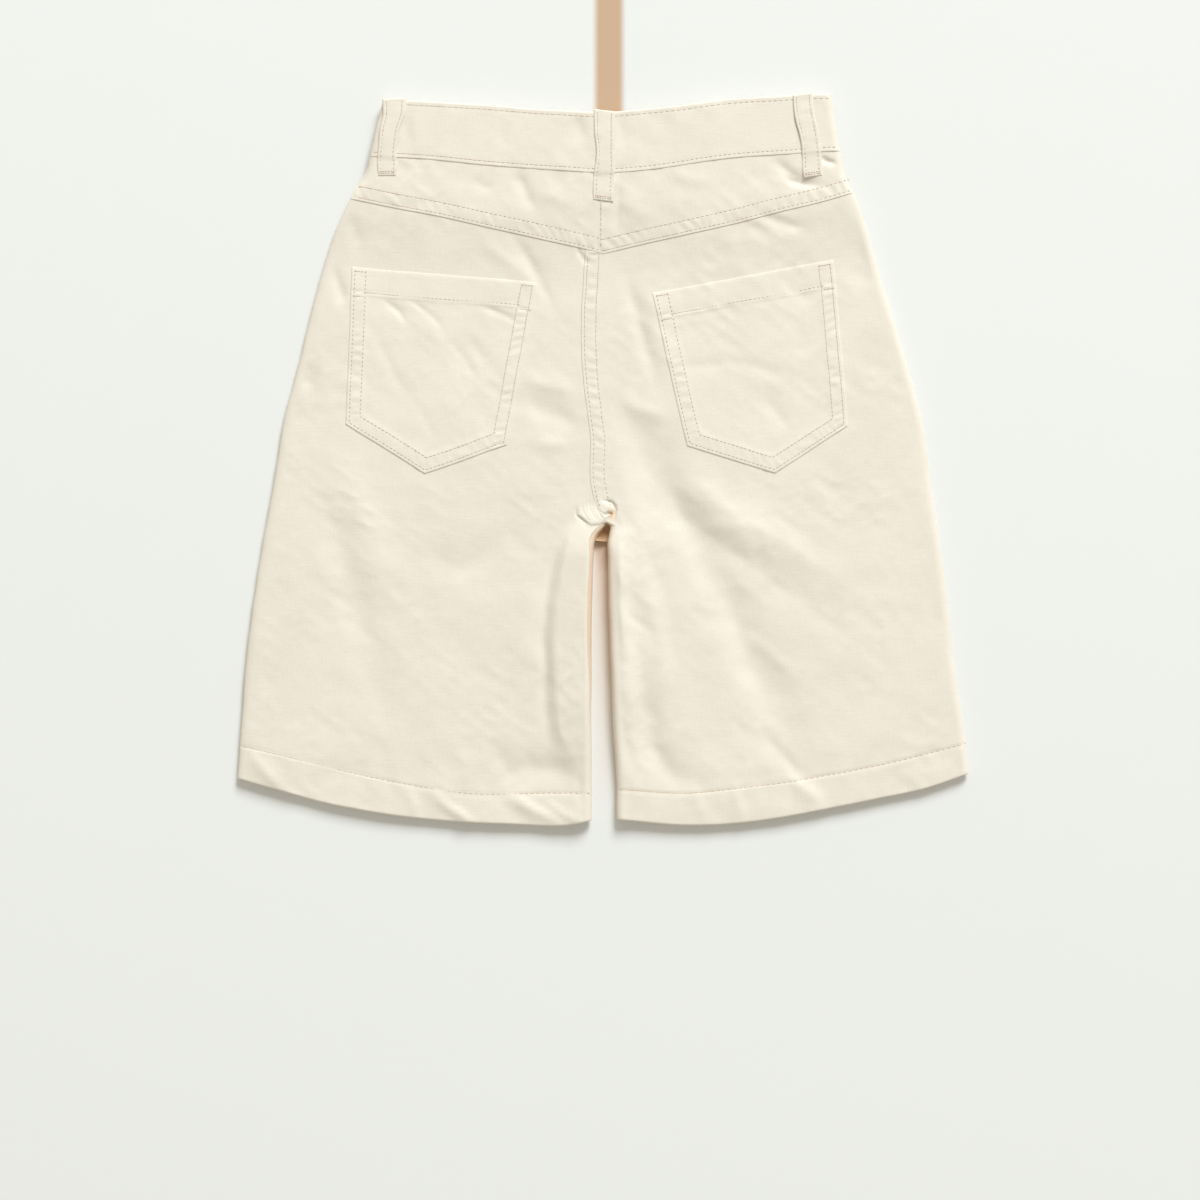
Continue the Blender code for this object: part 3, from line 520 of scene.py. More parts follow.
def makeCloth(name, outer, inner, plan, material, shade=None, paintedWarmShade=None):
    # closed wall from two grids of points in mm, with a UV map along the cloth
    outer, inner = drift(outer.copy()), drift(inner.copy())
    rows, columns = outer.shape[:2]
    points = np.concatenate((outer.reshape(-1, 3), inner.reshape(-1, 3))) * mm
    top = np.arange(rows * columns).reshape(rows, columns)
    under = top + rows * columns
    upper = np.stack((top[:-1, :-1], top[:-1, 1:], top[1:, 1:], top[1:, :-1]), -1).reshape(-1, 4)
    lower = np.stack((under[:-1, :-1], under[1:, :-1], under[1:, 1:], under[:-1, 1:]), -1).reshape(-1, 4)
    border = np.concatenate((top[0, :-1], top[:-1, -1], top[-1, :0:-1], top[:0:-1, 0]))
    after = np.roll(border, -1)
    rim = np.stack((after, border, border + rows * columns, after + rows * columns), -1)
    faces = np.concatenate((upper, lower, rim))
    a, b, c, d = (points[faces[:, k]] for k in range(4))
    if (np.cross(a - c, b - d) * (a + b + c + d)).sum() < 0:
        faces = faces[:, ::-1]
    mesh = bpy.data.meshes.new(name)
    mesh.from_pydata(points.tolist(), [], faces.tolist())
    corner = np.empty(len(mesh.loops), dtype=np.int32)
    mesh.loops.foreach_get("vertex_index", corner)
    flat = np.concatenate((plan.reshape(-1, 2), plan.reshape(-1, 2))) * mm
    mesh.uv_layers.new(name="clothMap").data.foreach_set("uv", flat[corner].astype(np.float32).ravel())
    # attributes that the material reads: painted shade along furrows, and painted warm shade by the gap
    for label, given in (("furrow", shade), ("paintedWarmShade", paintedWarmShade)):
        values = np.zeros((2, rows * columns), np.float32)
        if given is not None:
            values[:] = given.reshape(-1, rows * columns)
        mesh.attributes.new(label, "FLOAT", "POINT").data.foreach_set("value", values.ravel())
    mesh.shade_smooth()
    mesh.set_sharp_from_angle(angle=math.radians(55))
    mesh.materials.append(material)
    piece = bpy.data.objects.new(name, mesh)
    bpy.context.collection.objects.link(piece)
    return piece


def spacing(start, end, step, fineStart=(), fineEnd=()):
    # positions from start to end: fine ones near the ends, even ones between
    low = start + np.array((0.0, *fineStart))
    high = end - np.array((0.0, *fineEnd))[::-1]
    count = max(2, int(round((high[0] - low[-1]) / step)))
    return np.concatenate((low, np.linspace(low[-1], high[0], count + 1)[1:-1], high))


def aroundTurn(plan, angle, x, y):
    # cloth map that keeps its scale round the fold edges
    distance, towards = toEdge(x, y)
    near = np.arccos(np.clip(1 - distance / cut["turn"], 0, 1))
    turn = np.abs(np.where(np.abs(angle) > math.pi, near, angle))
    arc = (math.pi / 2 - turn) * (cut["turn"] + cut["thick"] / 2) / 2 - cut["turn"] * np.cos(turn)
    return plan + towards * np.maximum(arc, 0)[..., None]


def meet(yOfX, xOfY, y):
    for _ in range(20):
        y = float(yOfX(float(xOfY(y))))
    return y


def heightAlong(y, keys, values):
    order = np.argsort(keys)
    return np.interp(y, np.array(keys, float)[order], np.array(values, float)[order])


panel = {
    "step": 1.8, "frontStep": 4.0, "turnSteps": 8, "rollSteps": 12, "across": 165,
    "fineSeam": tuple(np.round(np.arange(1, 24) * 0.72, 2)),
    "fineHem": (0.1, 0.3, 0.65, 1.15, 2.2, 4, 6.5, 9, 11.5, 14,
                16.5, 18.8, 20.4, 21.0, 21.5, 22.0, 22.6, 24, 26),
    "fineTop": (0.35, 0.8, 1.4, 2.1, 3.0, 4.2),
    "fineCrotch": tuple(np.round(np.arange(1, 30) * 0.62, 2)),
}


def meetHalfway(skins, y, side):
    # a panel's last column stops half way up, where the other side's cloth begins
    limit = waistLift(y[:, -1]) + cut["thick"] / 2 + side * cut["gap"] / 2
    for skin in skins:
        skin[:, -1, 2] = np.maximum(skin[:, -1, 2], limit) if side > 0 else np.minimum(skin[:, -1, 2], limit)


def roundEdge(outerSkin, innerSkin, rim):
    # both skins close in on the middle of the cloth at a folded edge
    middle = (outerSkin + innerSkin) / 2
    for skin in (outerSkin, innerSkin):
        skin[..., 2:] = middle[..., 2:] + (skin - middle)[..., 2:] * rim[..., None]


# Painted warm shade on the cloth: a warm tint by the gap between the legs and in the knot's hook, dark brown
# in the hollow under the crotch
paintedWarmShadeLayout = {
    "backReach": 1.7, "frontReach": 7.0, "atHem": 0.2, "hemTo": (-190, -120),
    "hook": 1.25, "hookAt": (5.5, -36), "hookSize": (2.2, 4),
    "hollow": {"left": 1.0, "right": 1.9}, "hollowAt": (0.5, -48), "hollowSize": 9, "seenFrom": (0.8, 3.0),
}


def paintLegWarmShade(hand, side, x, y, fromInner, onLeg, height):
    # painted warm shade: a warm tint painted where the cloth beside the gap and under the crotch turns away
    # from the light, in place of bounce light and shade
    reach = paintedWarmShadeLayout["backReach"] if side > 0 else paintedWarmShadeLayout["frontReach"]
    upLeg = paintedWarmShadeLayout["atHem"] + (1 - paintedWarmShadeLayout["atHem"]) * easeBetween(*paintedWarmShadeLayout["hemTo"], y)
    paintedWarmShade = np.exp(-(fromInner / reach) ** 2) * onLeg * upLeg
    if side > 0:
        (hookX, hookY), (wide, tall) = paintedWarmShadeLayout["hookAt"], paintedWarmShadeLayout["hookSize"]
        hook = paintedWarmShadeLayout["hook"] * np.exp(-(((x - hookX) / wide) ** 2 + ((y - hookY) / tall) ** 2))
        return np.maximum(paintedWarmShade, hook)
    # on the outer skin the painted shade goes only on what can be seen from above, not on the face on the
    # floor
    # the darkest painted shade lies in the hollow under the knot
    hollowX, hollowY = paintedWarmShadeLayout["hollowAt"]
    fromHollow = (x - hollowX) ** 2 + (y - hollowY) ** 2
    hollow = paintedWarmShadeLayout["hollow"][hand] * np.exp(-fromHollow / paintedWarmShadeLayout["hollowSize"] ** 2)
    outerPaintedWarmShade = np.maximum(paintedWarmShade, hollow if hand == "left" else 0) * easeBetween(*paintedWarmShadeLayout["seenFrom"], height)
    return np.stack((outerPaintedWarmShade, np.maximum(paintedWarmShade, hollow)))


def legPanel(name, hand, side, middleX, material):
    # one leg's back (side 1), up to the yoke, or its front (side -1), up to the waistband
    away = -1 if hand == "left" else 1
    crotchY = cut["frontCrotch"] if hand == "right" and side < 0 else outline["crotch"][1]
    step = panel["step"] if side > 0 else panel["frontStep"]

    def innerX(y):
        return np.where(np.asarray(y) > crotchY, middleX(y), inseamX(y, hand))

    def outerX(y):
        return sideX(y, hand)

    yoke = meet(yokeSeamY, seatSeamX, 160.0)
    hem = meet(hemY, innerX, -225.0)
    inside, outside = [yoke, hem], [meet(yokeSeamY, outerX, 160.0), meet(hemY, outerX, -225.0)]
    topY = yokeSeamY
    if side < 0:
        topY = waistSeamY
        inside.insert(0, meet(waistSeamY, innerX, 160.0))
        outside.insert(0, meet(waistSeamY, outerX, 160.0))
    topIn = inside[0]
    fineTop = panel["fineTop"] if side > 0 else ()
    crotch = panel["fineCrotch"]
    above = spacing(-topIn, -crotchY, step, fineTop, crotch)
    below = spacing(-crotchY, -hem, step, crotch, panel["fineHem"])
    heights = -np.concatenate((above, below[1:]))
    t = (topIn - heights) / (topIn - hem)
    edgeY = heightAlong(heights, inside, outside)
    inner = np.column_stack((innerX(heights), heights))
    outer = np.column_stack((outerX(edgeY), edgeY))
    width = np.abs(outer[:, 0] - inner[:, 0])
    shares, angles = [], []
    steps = panel["rollSteps"] if hand == "left" and side < 0 else panel["turnSteps"]
    for y, wide in zip(heights, width):
        onLeg = y <= crotchY
        seam = 0.0
        if hand == "left" and onLeg:
            seam = math.radians(max(0.0, float(throughRows(outline["roll"], "y", "angle", y))))
        first = np.linspace(seam + side * 0.01, side * math.pi / 2, steps + 1)
        last = np.linspace(side * math.pi / 2, side * 0.01, panel["turnSteps"] + 1)
        nearRun = cut["turn"] * (1 - np.cos(first))
        if not onLeg:
            nearRun = nearRun - nearRun[0]
        farRun = wide - cut["turn"] * (1 - np.cos(last))
        fine = nearRun[-1] + np.array(panel["fineSeam"] if side > 0 else (2.0, 4.5, 7.5))
        even = np.linspace(0, 1, int(panel["across"] / step))[1:-1] * (farRun[0] - fine[-1]) + fine[-1]
        flat = np.concatenate((fine, even))
        free = np.full(len(flat), side * 7.0)
        shares.append(np.concatenate((nearRun, flat, farRun)) / wide)
        angles.append(np.concatenate((first if onLeg else np.full(steps + 1, side * 7.0), free, last)))
    s, angle, t = np.array(shares), np.array(angles), t[:, None]

    def along(x0, x1, yOfX):
        x = x0 + (x1 - x0) * s
        return np.stack((x, yOfX(x)), -1)

    top = along(inner[0, 0], outer[0, 0], topY)
    bottom = along(inner[-1, 0], outer[-1, 0], hemY)
    s3, t3 = s[..., None], t[..., None]
    plan = (1 - t3) * top + t3 * bottom + (1 - s3) * inner[:, None] + s3 * outer[:, None]
    plan -= (1 - s3) * ((1 - t3) * inner[0] + t3 * inner[-1]) + s3 * ((1 - t3) * outer[0] + t3 * outer[-1])
    x, y = plan[..., 0], plan[..., 1].copy()
    y[0] -= cut["gap"] / 2
    aboveHem = easeBetween(-0.6, 0.6, y - hemY(x) - cut["hemDepth"])
    wall = cut["cloth"] + (cut["hemWall"] - cut["cloth"]) * (1 - aboveHem)
    outerSkin, innerSkin = wallPoints(x, y, angle, wall, side < 0)
    meetHalfway((outerSkin, innerSkin), y, side)
    for skin in (outerSkin, innerSkin):
        skin[..., 0] += away * cut["gap"] / 2
    roundEdge(outerSkin, innerSkin, roundRim(y - y[-1], cut["hemWall"] / 2))
    # painted shade: the cloth is darkened along the hem's row of stitches, where its furrow lies in shade
    shade = 0.3 * np.exp(-((y - hemRowY(x)) / 1.0) ** 2)
    flatMap = aroundTurn(plan, angle, x, y)
    # painted warm shade beside the gap and under the crotch
    paintedWarmShade = paintLegWarmShade(hand, side, x, y, np.abs(x - inner[:, :1]), y < crotchY + 1, outerSkin[..., 2])
    return makeCloth(name, outerSkin, innerSkin, flatMap, material, shade, paintedWarmShade)


yokeCut = {
    "step": 1.5, "across": 160, "grain": (0.98, 0.2),
    "fine": (0.12, 0.35, 0.7, 1.2, 1.8, 2.3, 2.9, 3.7, 5, 6.5, 8, 8.8, 9.4, 9.9, 10.5, 11.6, 13, 14.6),
}


def yokeHalf(name, hand, material):
    # half of the pointed yoke; its folded lower edge laps over the leg panel
    def outerX(y):
        return sideX(y, hand)

    lowY, highY = meet(yokeSeamY, outerX, 160.0), meet(waistSeamY, outerX, 190.0)
    fine = np.array((0.0, *yokeCut["fine"]))
    rise = np.linspace(0, 1, 20)[1:]
    edgeTall = highY - lowY
    edge = lowY + np.concatenate((fine, fine[-1] + (edgeTall - fine[-1]) * rise))
    xSide = outerX(edge)
    last = np.linspace(math.pi / 2, 0.01, panel["turnSteps"] + 1)
    rows = []
    count = int(yokeCut["across"] / yokeCut["step"])
    for wide in np.abs(xSide):
        far = wide - cut["turn"] * (1 - np.cos(last))
        rows.append(np.concatenate((np.linspace(0, far[0], count)[:-1], far)) / wide)
    s = np.array(rows)
    x = s * xSide[:, None]
    tall = waistSeamY(x) - yokeSeamY(x)
    climb = np.concatenate((np.broadcast_to(fine[:, None], (len(fine), s.shape[1])),
                            fine[-1] + (tall[len(fine):] - fine[-1]) * rise[:, None]))
    y = yokeSeamY(x) + climb
    y[0] += cut["gap"] / 2
    y[-1] -= cut["gap"] / 2
    angle = np.concatenate((np.full(s.shape[1] - len(last), 7.0), last))
    angle = np.broadcast_to(angle, s.shape)
    outerSkin, innerSkin = wallPoints(x, y, angle, np.full(x.shape, cut["cloth"]))
    meetHalfway((outerSkin, innerSkin), y, 1)
    plan = aroundTurn(np.stack((x, y), -1), angle, x, y)
    straight, slant = yokeCut["grain"]
    turned = np.stack((plan[..., 0] * straight + plan[..., 1] * slant,
                       plan[..., 1] * straight - plan[..., 0] * slant), -1)
    return makeCloth(name, outerSkin, innerSkin, turned, material)


band = {
    "step": 2.2, "frontStep": 4.0, "across": 300, "frontAcross": 150, "flyGap": 0.15,
    "rows": (0, 0.1, 0.3, 0.65, 1.1, 1.7, 2.3, 2.8, 3.3, 4.1, 5.5, 8, 11, 14, 17.5, 21),
    "topRows": (0, 0.08, 0.25, 0.55, 1.0, 1.7, 2.4, 3.0, 3.6, 4.4, 6, 8.5, 11.5, 14.5),
}


def waistBand(name, material):
    # one strip from the fly round both sides and back to the fly
    quarter = np.linspace(-math.pi / 2, math.pi / 2, 2 * panel["turnSteps"] + 1)
    fromSeam, fromTop = np.array(band["rows"], float), np.array(band["topRows"], float)[::-1]
    atMiddle = waistTopY(0) - waistSeamY(0)
    shares = np.concatenate((fromSeam / atMiddle, 1 - fromTop / atMiddle))
    xs, angles = [], []
    for v in shares:
        def rowY(x, v=v):
            return waistSeamY(x) * (1 - v) + waistTopY(x) * v

        left = float(sideX(meet(rowY, lambda y: sideX(y, "left"), 200.0), "left"))
        right = float(sideX(meet(rowY, lambda y: sideX(y, "right"), 200.0), "right"))
        run = cut["turn"] * (1 - np.cos(quarter))
        fly = float(flyX(rowY(0)))
        count = int(band["frontAcross"] / band["frontStep"])
        backCount = int(band["across"] / band["step"])
        frontLeft = np.linspace(fly - band["flyGap"], left + cut["turn"], count + 1)[:-1]
        back = np.linspace(left + cut["turn"], right - cut["turn"], backCount + 1)[1:-1]
        frontRight = np.linspace(right - cut["turn"], fly + band["flyGap"], count + 1)[1:]
        xs.append(np.concatenate((frontLeft, left + run, back, right - run, frontRight)))
        low, high = np.full(count, -7.0), np.full(backCount - 1, 7.0)
        angles.append(np.concatenate((low, quarter, high, quarter[::-1], low)))
    x, angle = np.array(xs), np.array(angles)
    seam, top = waistSeamY(x), waistTopY(x)
    y = np.concatenate((seam[:len(fromSeam)] + fromSeam[:, None], top[len(fromSeam):] - fromTop[:, None]))
    outerSkin, innerSkin = wallPoints(x, y, angle, np.full(x.shape, cut["bandWall"]))
    roundEdge(outerSkin, innerSkin, roundRim(top - y, cut["bandWall"] / 2))
    plan = aroundTurn(np.stack((x, y), -1), angle, x, y)
    turned = np.stack((plan[..., 1], plan[..., 0]), -1)
    return makeCloth(name, outerSkin, innerSkin, turned, material)


pockets = {
    "pocket_left": ((-165.6, 126.9), (-43.6, 116.8), (-63, 9.6), (-117.2, -9.2), (-169.6, 23.2)),
    "pocket_right": ((32.2, 109.8), (151.8, 131.7), (161.2, 22), (112.9, -9.2), (55.2, 8.6)),
}
pocketCut = {
    "step": 1.4, "edge": (0.12, 0.35, 0.75, 1.3, 1.9, 2.4, 3.0, 4, 5.5, 7.2, 8.6, 9.3, 9.9, 10.6, 12),
    "top": (0.12, 0.35, 0.75, 1.3, 2.2, 4, 6.5, 9.5, 12.5, 14.4,
            15.2, 15.8, 16.4, 17.2, 17.8, 18.2, 18.6, 19.2, 20.4),
    "wall": 0.5, "thin": 0.3, "lift": 0.05, "rim": 0.9, "topRim": 3.0, "hem": 18.2, "hemRow": 15.8,
    "rowNear": 2.4, "rowFar": 9.7, "rowRight": 10.5, "barTop": 2.5, "barLow": 18.6, "bar": (2.9, 9.2),
}


def besideLine(x, y, start, end):
    # distance to the left of a line, and how far along it
    direction = np.array(end, float) - np.array(start, float)
    direction /= np.hypot(*direction)
    dx, dy = x - start[0], y - start[1]
    return direction[0] * dy - direction[1] * dx, direction[0] * dx + direction[1] * dy


def pocketHeight(corners, x, y):
    # thickness of the pocket over the panel: folded edges, sewn rows and the turned-down top
    topLeft, topRight, lowRight, tip, lowLeft = corners
    sides = ((topLeft, lowLeft), (lowLeft, tip), (tip, lowRight), (lowRight, topRight))
    rimDistance = np.full(x.shape, 99.0)
    folded = np.zeros(x.shape)
    rows = np.zeros(x.shape)
    for i, (start, end) in enumerate(sides):
        distance, run = besideLine(x, y, start, end)
        distance = np.abs(distance)
        rimDistance = np.minimum(rimDistance, distance)
        folded = np.maximum(folded, 1 - easeBetween(10.0, 12.5, distance))
        rows = rows + seamRows(distance * sewing["rowFar"] / pocketCut["rowFar"], run, 101 + 7 * i)
    fromTop, run = besideLine(x, y, topLeft, topRight)
    fromTop = np.abs(fromTop)
    hem = pocketCut["hem"]
    folded = np.maximum(folded, 1 - easeBetween(hem - 0.4, hem + 0.4, fromTop))
    rows = rows - 0.25 * np.exp(-((fromTop - pocketCut["hemRow"]) / 0.7) ** 2)
    height = pocketCut["thin"] + (pocketCut["wall"] - pocketCut["thin"]) * folded + 0.8 * rows
    rounded = roundRim(rimDistance, pocketCut["rim"]) * roundRim(fromTop, pocketCut["topRim"])
    return pocketCut["lift"] + height * rounded


def patchPocket(name, corners, material):
    topLeft, topRight, lowRight, tip, lowLeft = [np.array(c, float) for c in corners]
    width, tall = np.linalg.norm(topRight - topLeft), np.linalg.norm(lowLeft - topLeft)
    half = spacing(0, width / 2, pocketCut["step"], pocketCut["edge"], ()) / width
    s = np.concatenate((half, 1 - half[::-1][1:]))[None, :, None]
    t = (spacing(0, tall, pocketCut["step"], pocketCut["top"], pocketCut["edge"]) / tall)[:, None, None]
    high = topLeft + (topRight - topLeft) * s
    low = np.where(s <= 0.5, lowLeft + (tip - lowLeft) * 2 * s, tip + (lowRight - tip) * (2 * s - 1))
    plan = high + (low - high) * t
    x, y = plan[..., 0], plan[..., 1]
    base = backSurface(x, y)
    outerSkin = np.stack((x, y, base + pocketHeight(corners, x, y)), -1)
    innerSkin = np.stack((x, y, base + pocketCut["lift"] * 0.5), -1)
    return makeCloth(name, outerSkin, innerSkin, plan, material)


loops = {
    "belt_loop_back_left": {
        "side": 1, "tilt": 0.2, "y": (237.2, 226.3, 219.1, 208, 200, 194.7, 186.8),
        "left": (-145.2, -144.8, -146.3, -147.4, -147.9, -148.2, -147.6),
        "right": (-129.4, -130.7, -133.4, -135.3, -135.8, -135.2, -136.4)},
    "belt_loop_back_centre": {
        "side": 1, "tilt": -0.8, "y": (229.4, 219, 211.7, 205.2, 195.9, 188.5, 177.4, 170.2),
        "left": (-6, -5.7, -5.3, -4.4, -4.7, -6, -6.7, -6.9),
        "right": (8.2, 7.9, 7.6, 7.5, 7.7, 7.7, 7.2, 6.8)},
    "belt_loop_back_right": {
        "side": 1, "tilt": 0.9, "y": (240.5, 234.2, 224.5, 214.8, 206.8, 201, 192.3, 186),
        "left": (125, 125.2, 126.7, 129.2, 130.5, 130.7, 130.8, 131.8),
        "right": (138.2, 138.4, 140, 142, 142.8, 143.2, 143.6, 143.8)},
    "belt_loop_front_left": {
        "side": -1, "tilt": 0.2, "y": (232.8, 206, 180),
        "left": (-80.7, -81.4, -82.7), "right": (-67.3, -68.6, -69.3)},
    "belt_loop_front_right": {
        "side": -1, "tilt": 0.2, "y": (235.8, 208, 182),
        "left": (67.3, 68, 69.3), "right": (80.7, 81.9, 82.7)},
}
loopCut = {
    "wall": 0.8, "bulge": 0.4, "lift": 0.1, "rim": 0.7, "row": 0.66, "furrow": 0.16, "rope": 0.16,
    "bars": (1.8, 2.9), "step": 1.4,
    "ends": (0.1, 0.3, 0.65, 1.1, 1.8, 2.6, 3.6),
    "across": (-1, -0.985, -0.94, -0.87, -0.76, -0.62, -0.45, -0.22, 0,
               0.22, 0.45, 0.62, 0.76, 0.87, 0.94, 0.985, 1),
}


def loopLong(loop):
    return max(loop["y"]) - min(loop["y"])


def loopSurface(loop, u, v):
    # places on a belt loop's face: u across it from -1 to 1, v down it from 0 to 1
    side, long = loop["side"], loopLong(loop)
    y = max(loop["y"]) - long * v
    left, right = throughRows(loop, "y", "left", y), throughRows(loop, "y", "right", y)
    half = (right - left) / 2
    x = (left + right) / 2 + u * half
    rim = roundRim(np.minimum((1 - np.abs(u)) * half, np.minimum(v, 1 - v) * long), loopCut["rim"])
    y = y + loop["tilt"] * u
    bow = np.sin(math.pi * np.clip(v / 0.78, 0, 1)) ** 2 * loopCut["bulge"]
    sewn = loopCut["furrow"] * np.exp(-((np.abs(u) - loopCut["row"]) * half / 0.6) ** 2)
    rope = loopCut["rope"] * softNoise(v * long * 1.2 + left[..., :1] * 3, u * 4, 4.5, 137)
    lie = sewing["bandStep"] * easeBetween(-1.5, 0.5, y - waistSeamY(x)) if side > 0 else 0
    under = cut["thick"] + loopCut["lift"] + lie + bow if side > 0 else -loopCut["lift"] - bow
    base = waistLift(y) + under
    return x, y, base, base + side * (loopCut["wall"] * rim + (rope - sewn) * rim)


def beltLoop(name, loop, material):
    long = loopLong(loop)
    v = spacing(0, long, loopCut["step"], loopCut["ends"], loopCut["ends"])[:, None] / long
    u, v = np.broadcast_arrays(np.array(loopCut["across"])[None, :], v)
    x, y, base, face = loopSurface(loop, u, v)
    plan = np.stack((y, x), -1)
    return makeCloth(name, np.stack((x, y, face), -1), np.stack((x, y, base), -1), plan, material)


def insetPath(corners, inset):
    # the pocket's outline from top right round the point to top left, moved inwards
    topLeft, topRight, lowRight, tip, lowLeft = [np.array(c, float) for c in corners]
    way = (topRight, lowRight, tip, lowLeft, topLeft)
    lines = []
    for start, end in zip(way[:-1], way[1:]):
        along = (end - start) / np.linalg.norm(end - start)
        inwards = np.array((along[1], -along[0]))
        lines.append((start + inwards * inset, along))
    points = []
    down = (topLeft - topRight) / np.linalg.norm(topLeft - topRight)
    below = np.array((-down[1], down[0]))
    topLine = (topRight + below * pocketCut["barTop"], down)
    for (p, a), (q, b) in zip([topLine] + lines, lines + [topLine]):
        across = a[0] * b[1] - a[1] * b[0]
        k = ((q[0] - p[0]) * b[1] - (q[1] - p[1]) * b[0]) / across
        points.append(p + a * k)
    return np.array(points)


def densePath(points):
    points = np.array(points, float)
    lengths = np.hypot(*np.diff(points, axis=0).T)
    done = np.concatenate(([0], np.cumsum(lengths)))
    at = np.linspace(0, done[-1], max(2, int(done[-1] / sewing["pathStep"])))
    return np.column_stack((np.interp(at, done, points[:, 0]), np.interp(at, done, points[:, 1])))


def onBack(path):
    x, y = path[:, 0], path[:, 1]
    return np.column_stack((x, y, backSurface(x, y)))


def onFront(path):
    x, y = path[:, 0], path[:, 1]
    distance, _ = toEdge(x, y)
    return np.column_stack((x, y, waistLift(y) + frontHollow(x, y, distance)))


def onPocket(corners, path):
    x, y = path[:, 0], path[:, 1]
    return np.column_stack((x, y, backSurface(x, y) + pocketHeight(corners, x, y)))


def seamRun(xs, yOfX):
    xs = np.arange(*xs, sewing["pathStep"])
    return np.column_stack((xs, yOfX(xs)))


def backRows():
    rows = []
    for near in (sewing["rowNear"], sewing["rowFar"]):
        above = near / sewing["yokeSlope"]
        for run in ((-160, -0.6), (0.6, 162)):
            rows.append(("seam", onBack(seamRun(run, lambda x: yokeSeamY(x) + above))))
        ys = np.arange(133.6 if near < 5 else 135.4, -30, -sewing["pathStep"])
        rows.append(("seam", onBack(np.column_stack((seatSeamX(ys) + near, ys)))))
    ys = np.arange(169, 141, -sewing["pathStep"])
    rows.append(("seam", onBack(np.column_stack((np.full(len(ys), -1.6), ys)))))
    rows.append(("band", onBack(seamRun((-143, 148), lambda x: waistTopY(x) - sewing["topRow"]))))
    rows.append(("seam", onBack(seamRun((-150, 152), lambda x: waistSeamY(x) + sewing["waistRow"]))))
    rows.append(("hem", onBack(seamRun((-237, -9), hemRowY))))
    rows.append(("hem", onBack(seamRun((11, 239), hemRowY))))
    for corners in pockets.values():
        outer, inner = insetPath(corners, pocketCut["rowNear"]), insetPath(corners, pocketCut["rowFar"])
        for path in (outer, inner):
            rows.append(("pocket", onPocket(corners, densePath(path))))
        topLeft, topRight = np.array(corners[0]), np.array(corners[1])
        across = (topRight - topLeft) / np.linalg.norm(topRight - topLeft)
        down = np.array((across[1], -across[0]))
        row = [topLeft + across * pocketCut["rowFar"], topRight - across * pocketCut["rowRight"]]
        rows.append(("pocket", onPocket(corners, densePath(row + down * pocketCut["hemRow"]))))
        for depth in (pocketCut["barTop"], pocketCut["barLow"]):
            for corner, way in ((topLeft, 1), (topRight, -1)):
                bar = [corner + way * across * end + down * depth for end in pocketCut["bar"]]
                rows.append(("bar", onPocket(corners, densePath(bar))))
    return rows


def loopRows(sides):
    rows = []
    for loop in loops.values():
        if loop["side"] not in sides:
            continue
        long = loopLong(loop)
        v = np.linspace(2.0 / long, 1 - 2.0 / long, 60)[None, :]
        for u in (-loopCut["row"], loopCut["row"]):
            x, y, _, z = loopSurface(loop, np.full(v.shape, u), v)
            rows.append(("loop", np.column_stack((x[0], y[0], z[0]))))
        u = np.linspace(-0.75, 0.75, 14)[None, :]
        for back in loopCut["bars"]:
            x, y, _, z = loopSurface(loop, u, np.full(u.shape, 1 - back / long))
            rows.append(("bar", np.column_stack((x[0], y[0], z[0]))))
    return rows


flyRows = {"insets": (32, 39), "top": 186, "bend": 112, "centre": (70, -32)}


def frontRows():
    def aboveSeam(x):
        return waistSeamY(x) + sewing["frontWaistRow"]

    def belowTop(x):
        return waistTopY(x) - sewing["frontTopRow"]

    runs = (("hem", (-232, -12), hemRowY), ("hem", (14, 234), hemRowY), ("seam", (-146, -1), aboveSeam),
            ("seam", (1, 148), aboveSeam), ("band", (-138, -1), belowTop), ("band", (1, 142), belowTop))
    rows = [(kind, onFront(seamRun(run, yOfX))) for kind, run, yOfX in runs]
    ys = np.arange(*flyRows["centre"], -sewing["pathStep"])
    for near in (sewing["rowNear"], sewing["rowFar"]):
        rows.append(("seam", onFront(np.column_stack((flyX(ys) - near, ys)))))
    for inset in flyRows["insets"]:
        ys = np.arange(flyRows["top"], flyRows["bend"], -sewing["pathStep"])
        straight = np.column_stack((np.full(len(ys), -float(inset)), ys))
        turn = np.linspace(0, math.pi / 2, 40)
        curve = np.column_stack((-inset * np.cos(turn), flyRows["bend"] - 0.9 * inset * np.sin(turn)))
        rows.append(("seam", onFront(np.concatenate((straight, curve)))))
    return rows


thread = {
    "seam": {"Pitch": 3.1, "Stitch Length": 2.3}, "band": {"Pitch": 3.75, "Stitch Length": 2.9},
    "hem": {"Pitch": 3.65, "Stitch Length": 2.8}, "pocket": {"Pitch": 2.8, "Stitch Length": 2.1},
    "loop": {"Pitch": 2.7, "Stitch Length": 2.0}, "bar": {"Pitch": 1.6, "Stitch Length": 1.3},
    "Thread Radius": 0.2, "Hole Radius": 0.46, "Lift": 0.05, "Seed": 4, "Uneven": (0.82, 1.12),
}


def maths(tree, operation, a, b=None, clamp=False):
    node = tree.nodes.new("ShaderNodeMath")
    node.operation, node.use_clamp = operation, clamp
    for socket, value in zip(node.inputs, (a, b)):
        if value is None:
            continue
        if isinstance(value, (int, float)):
            socket.default_value = value
        else:
            tree.links.new(value, socket)
    return node.outputs[0]


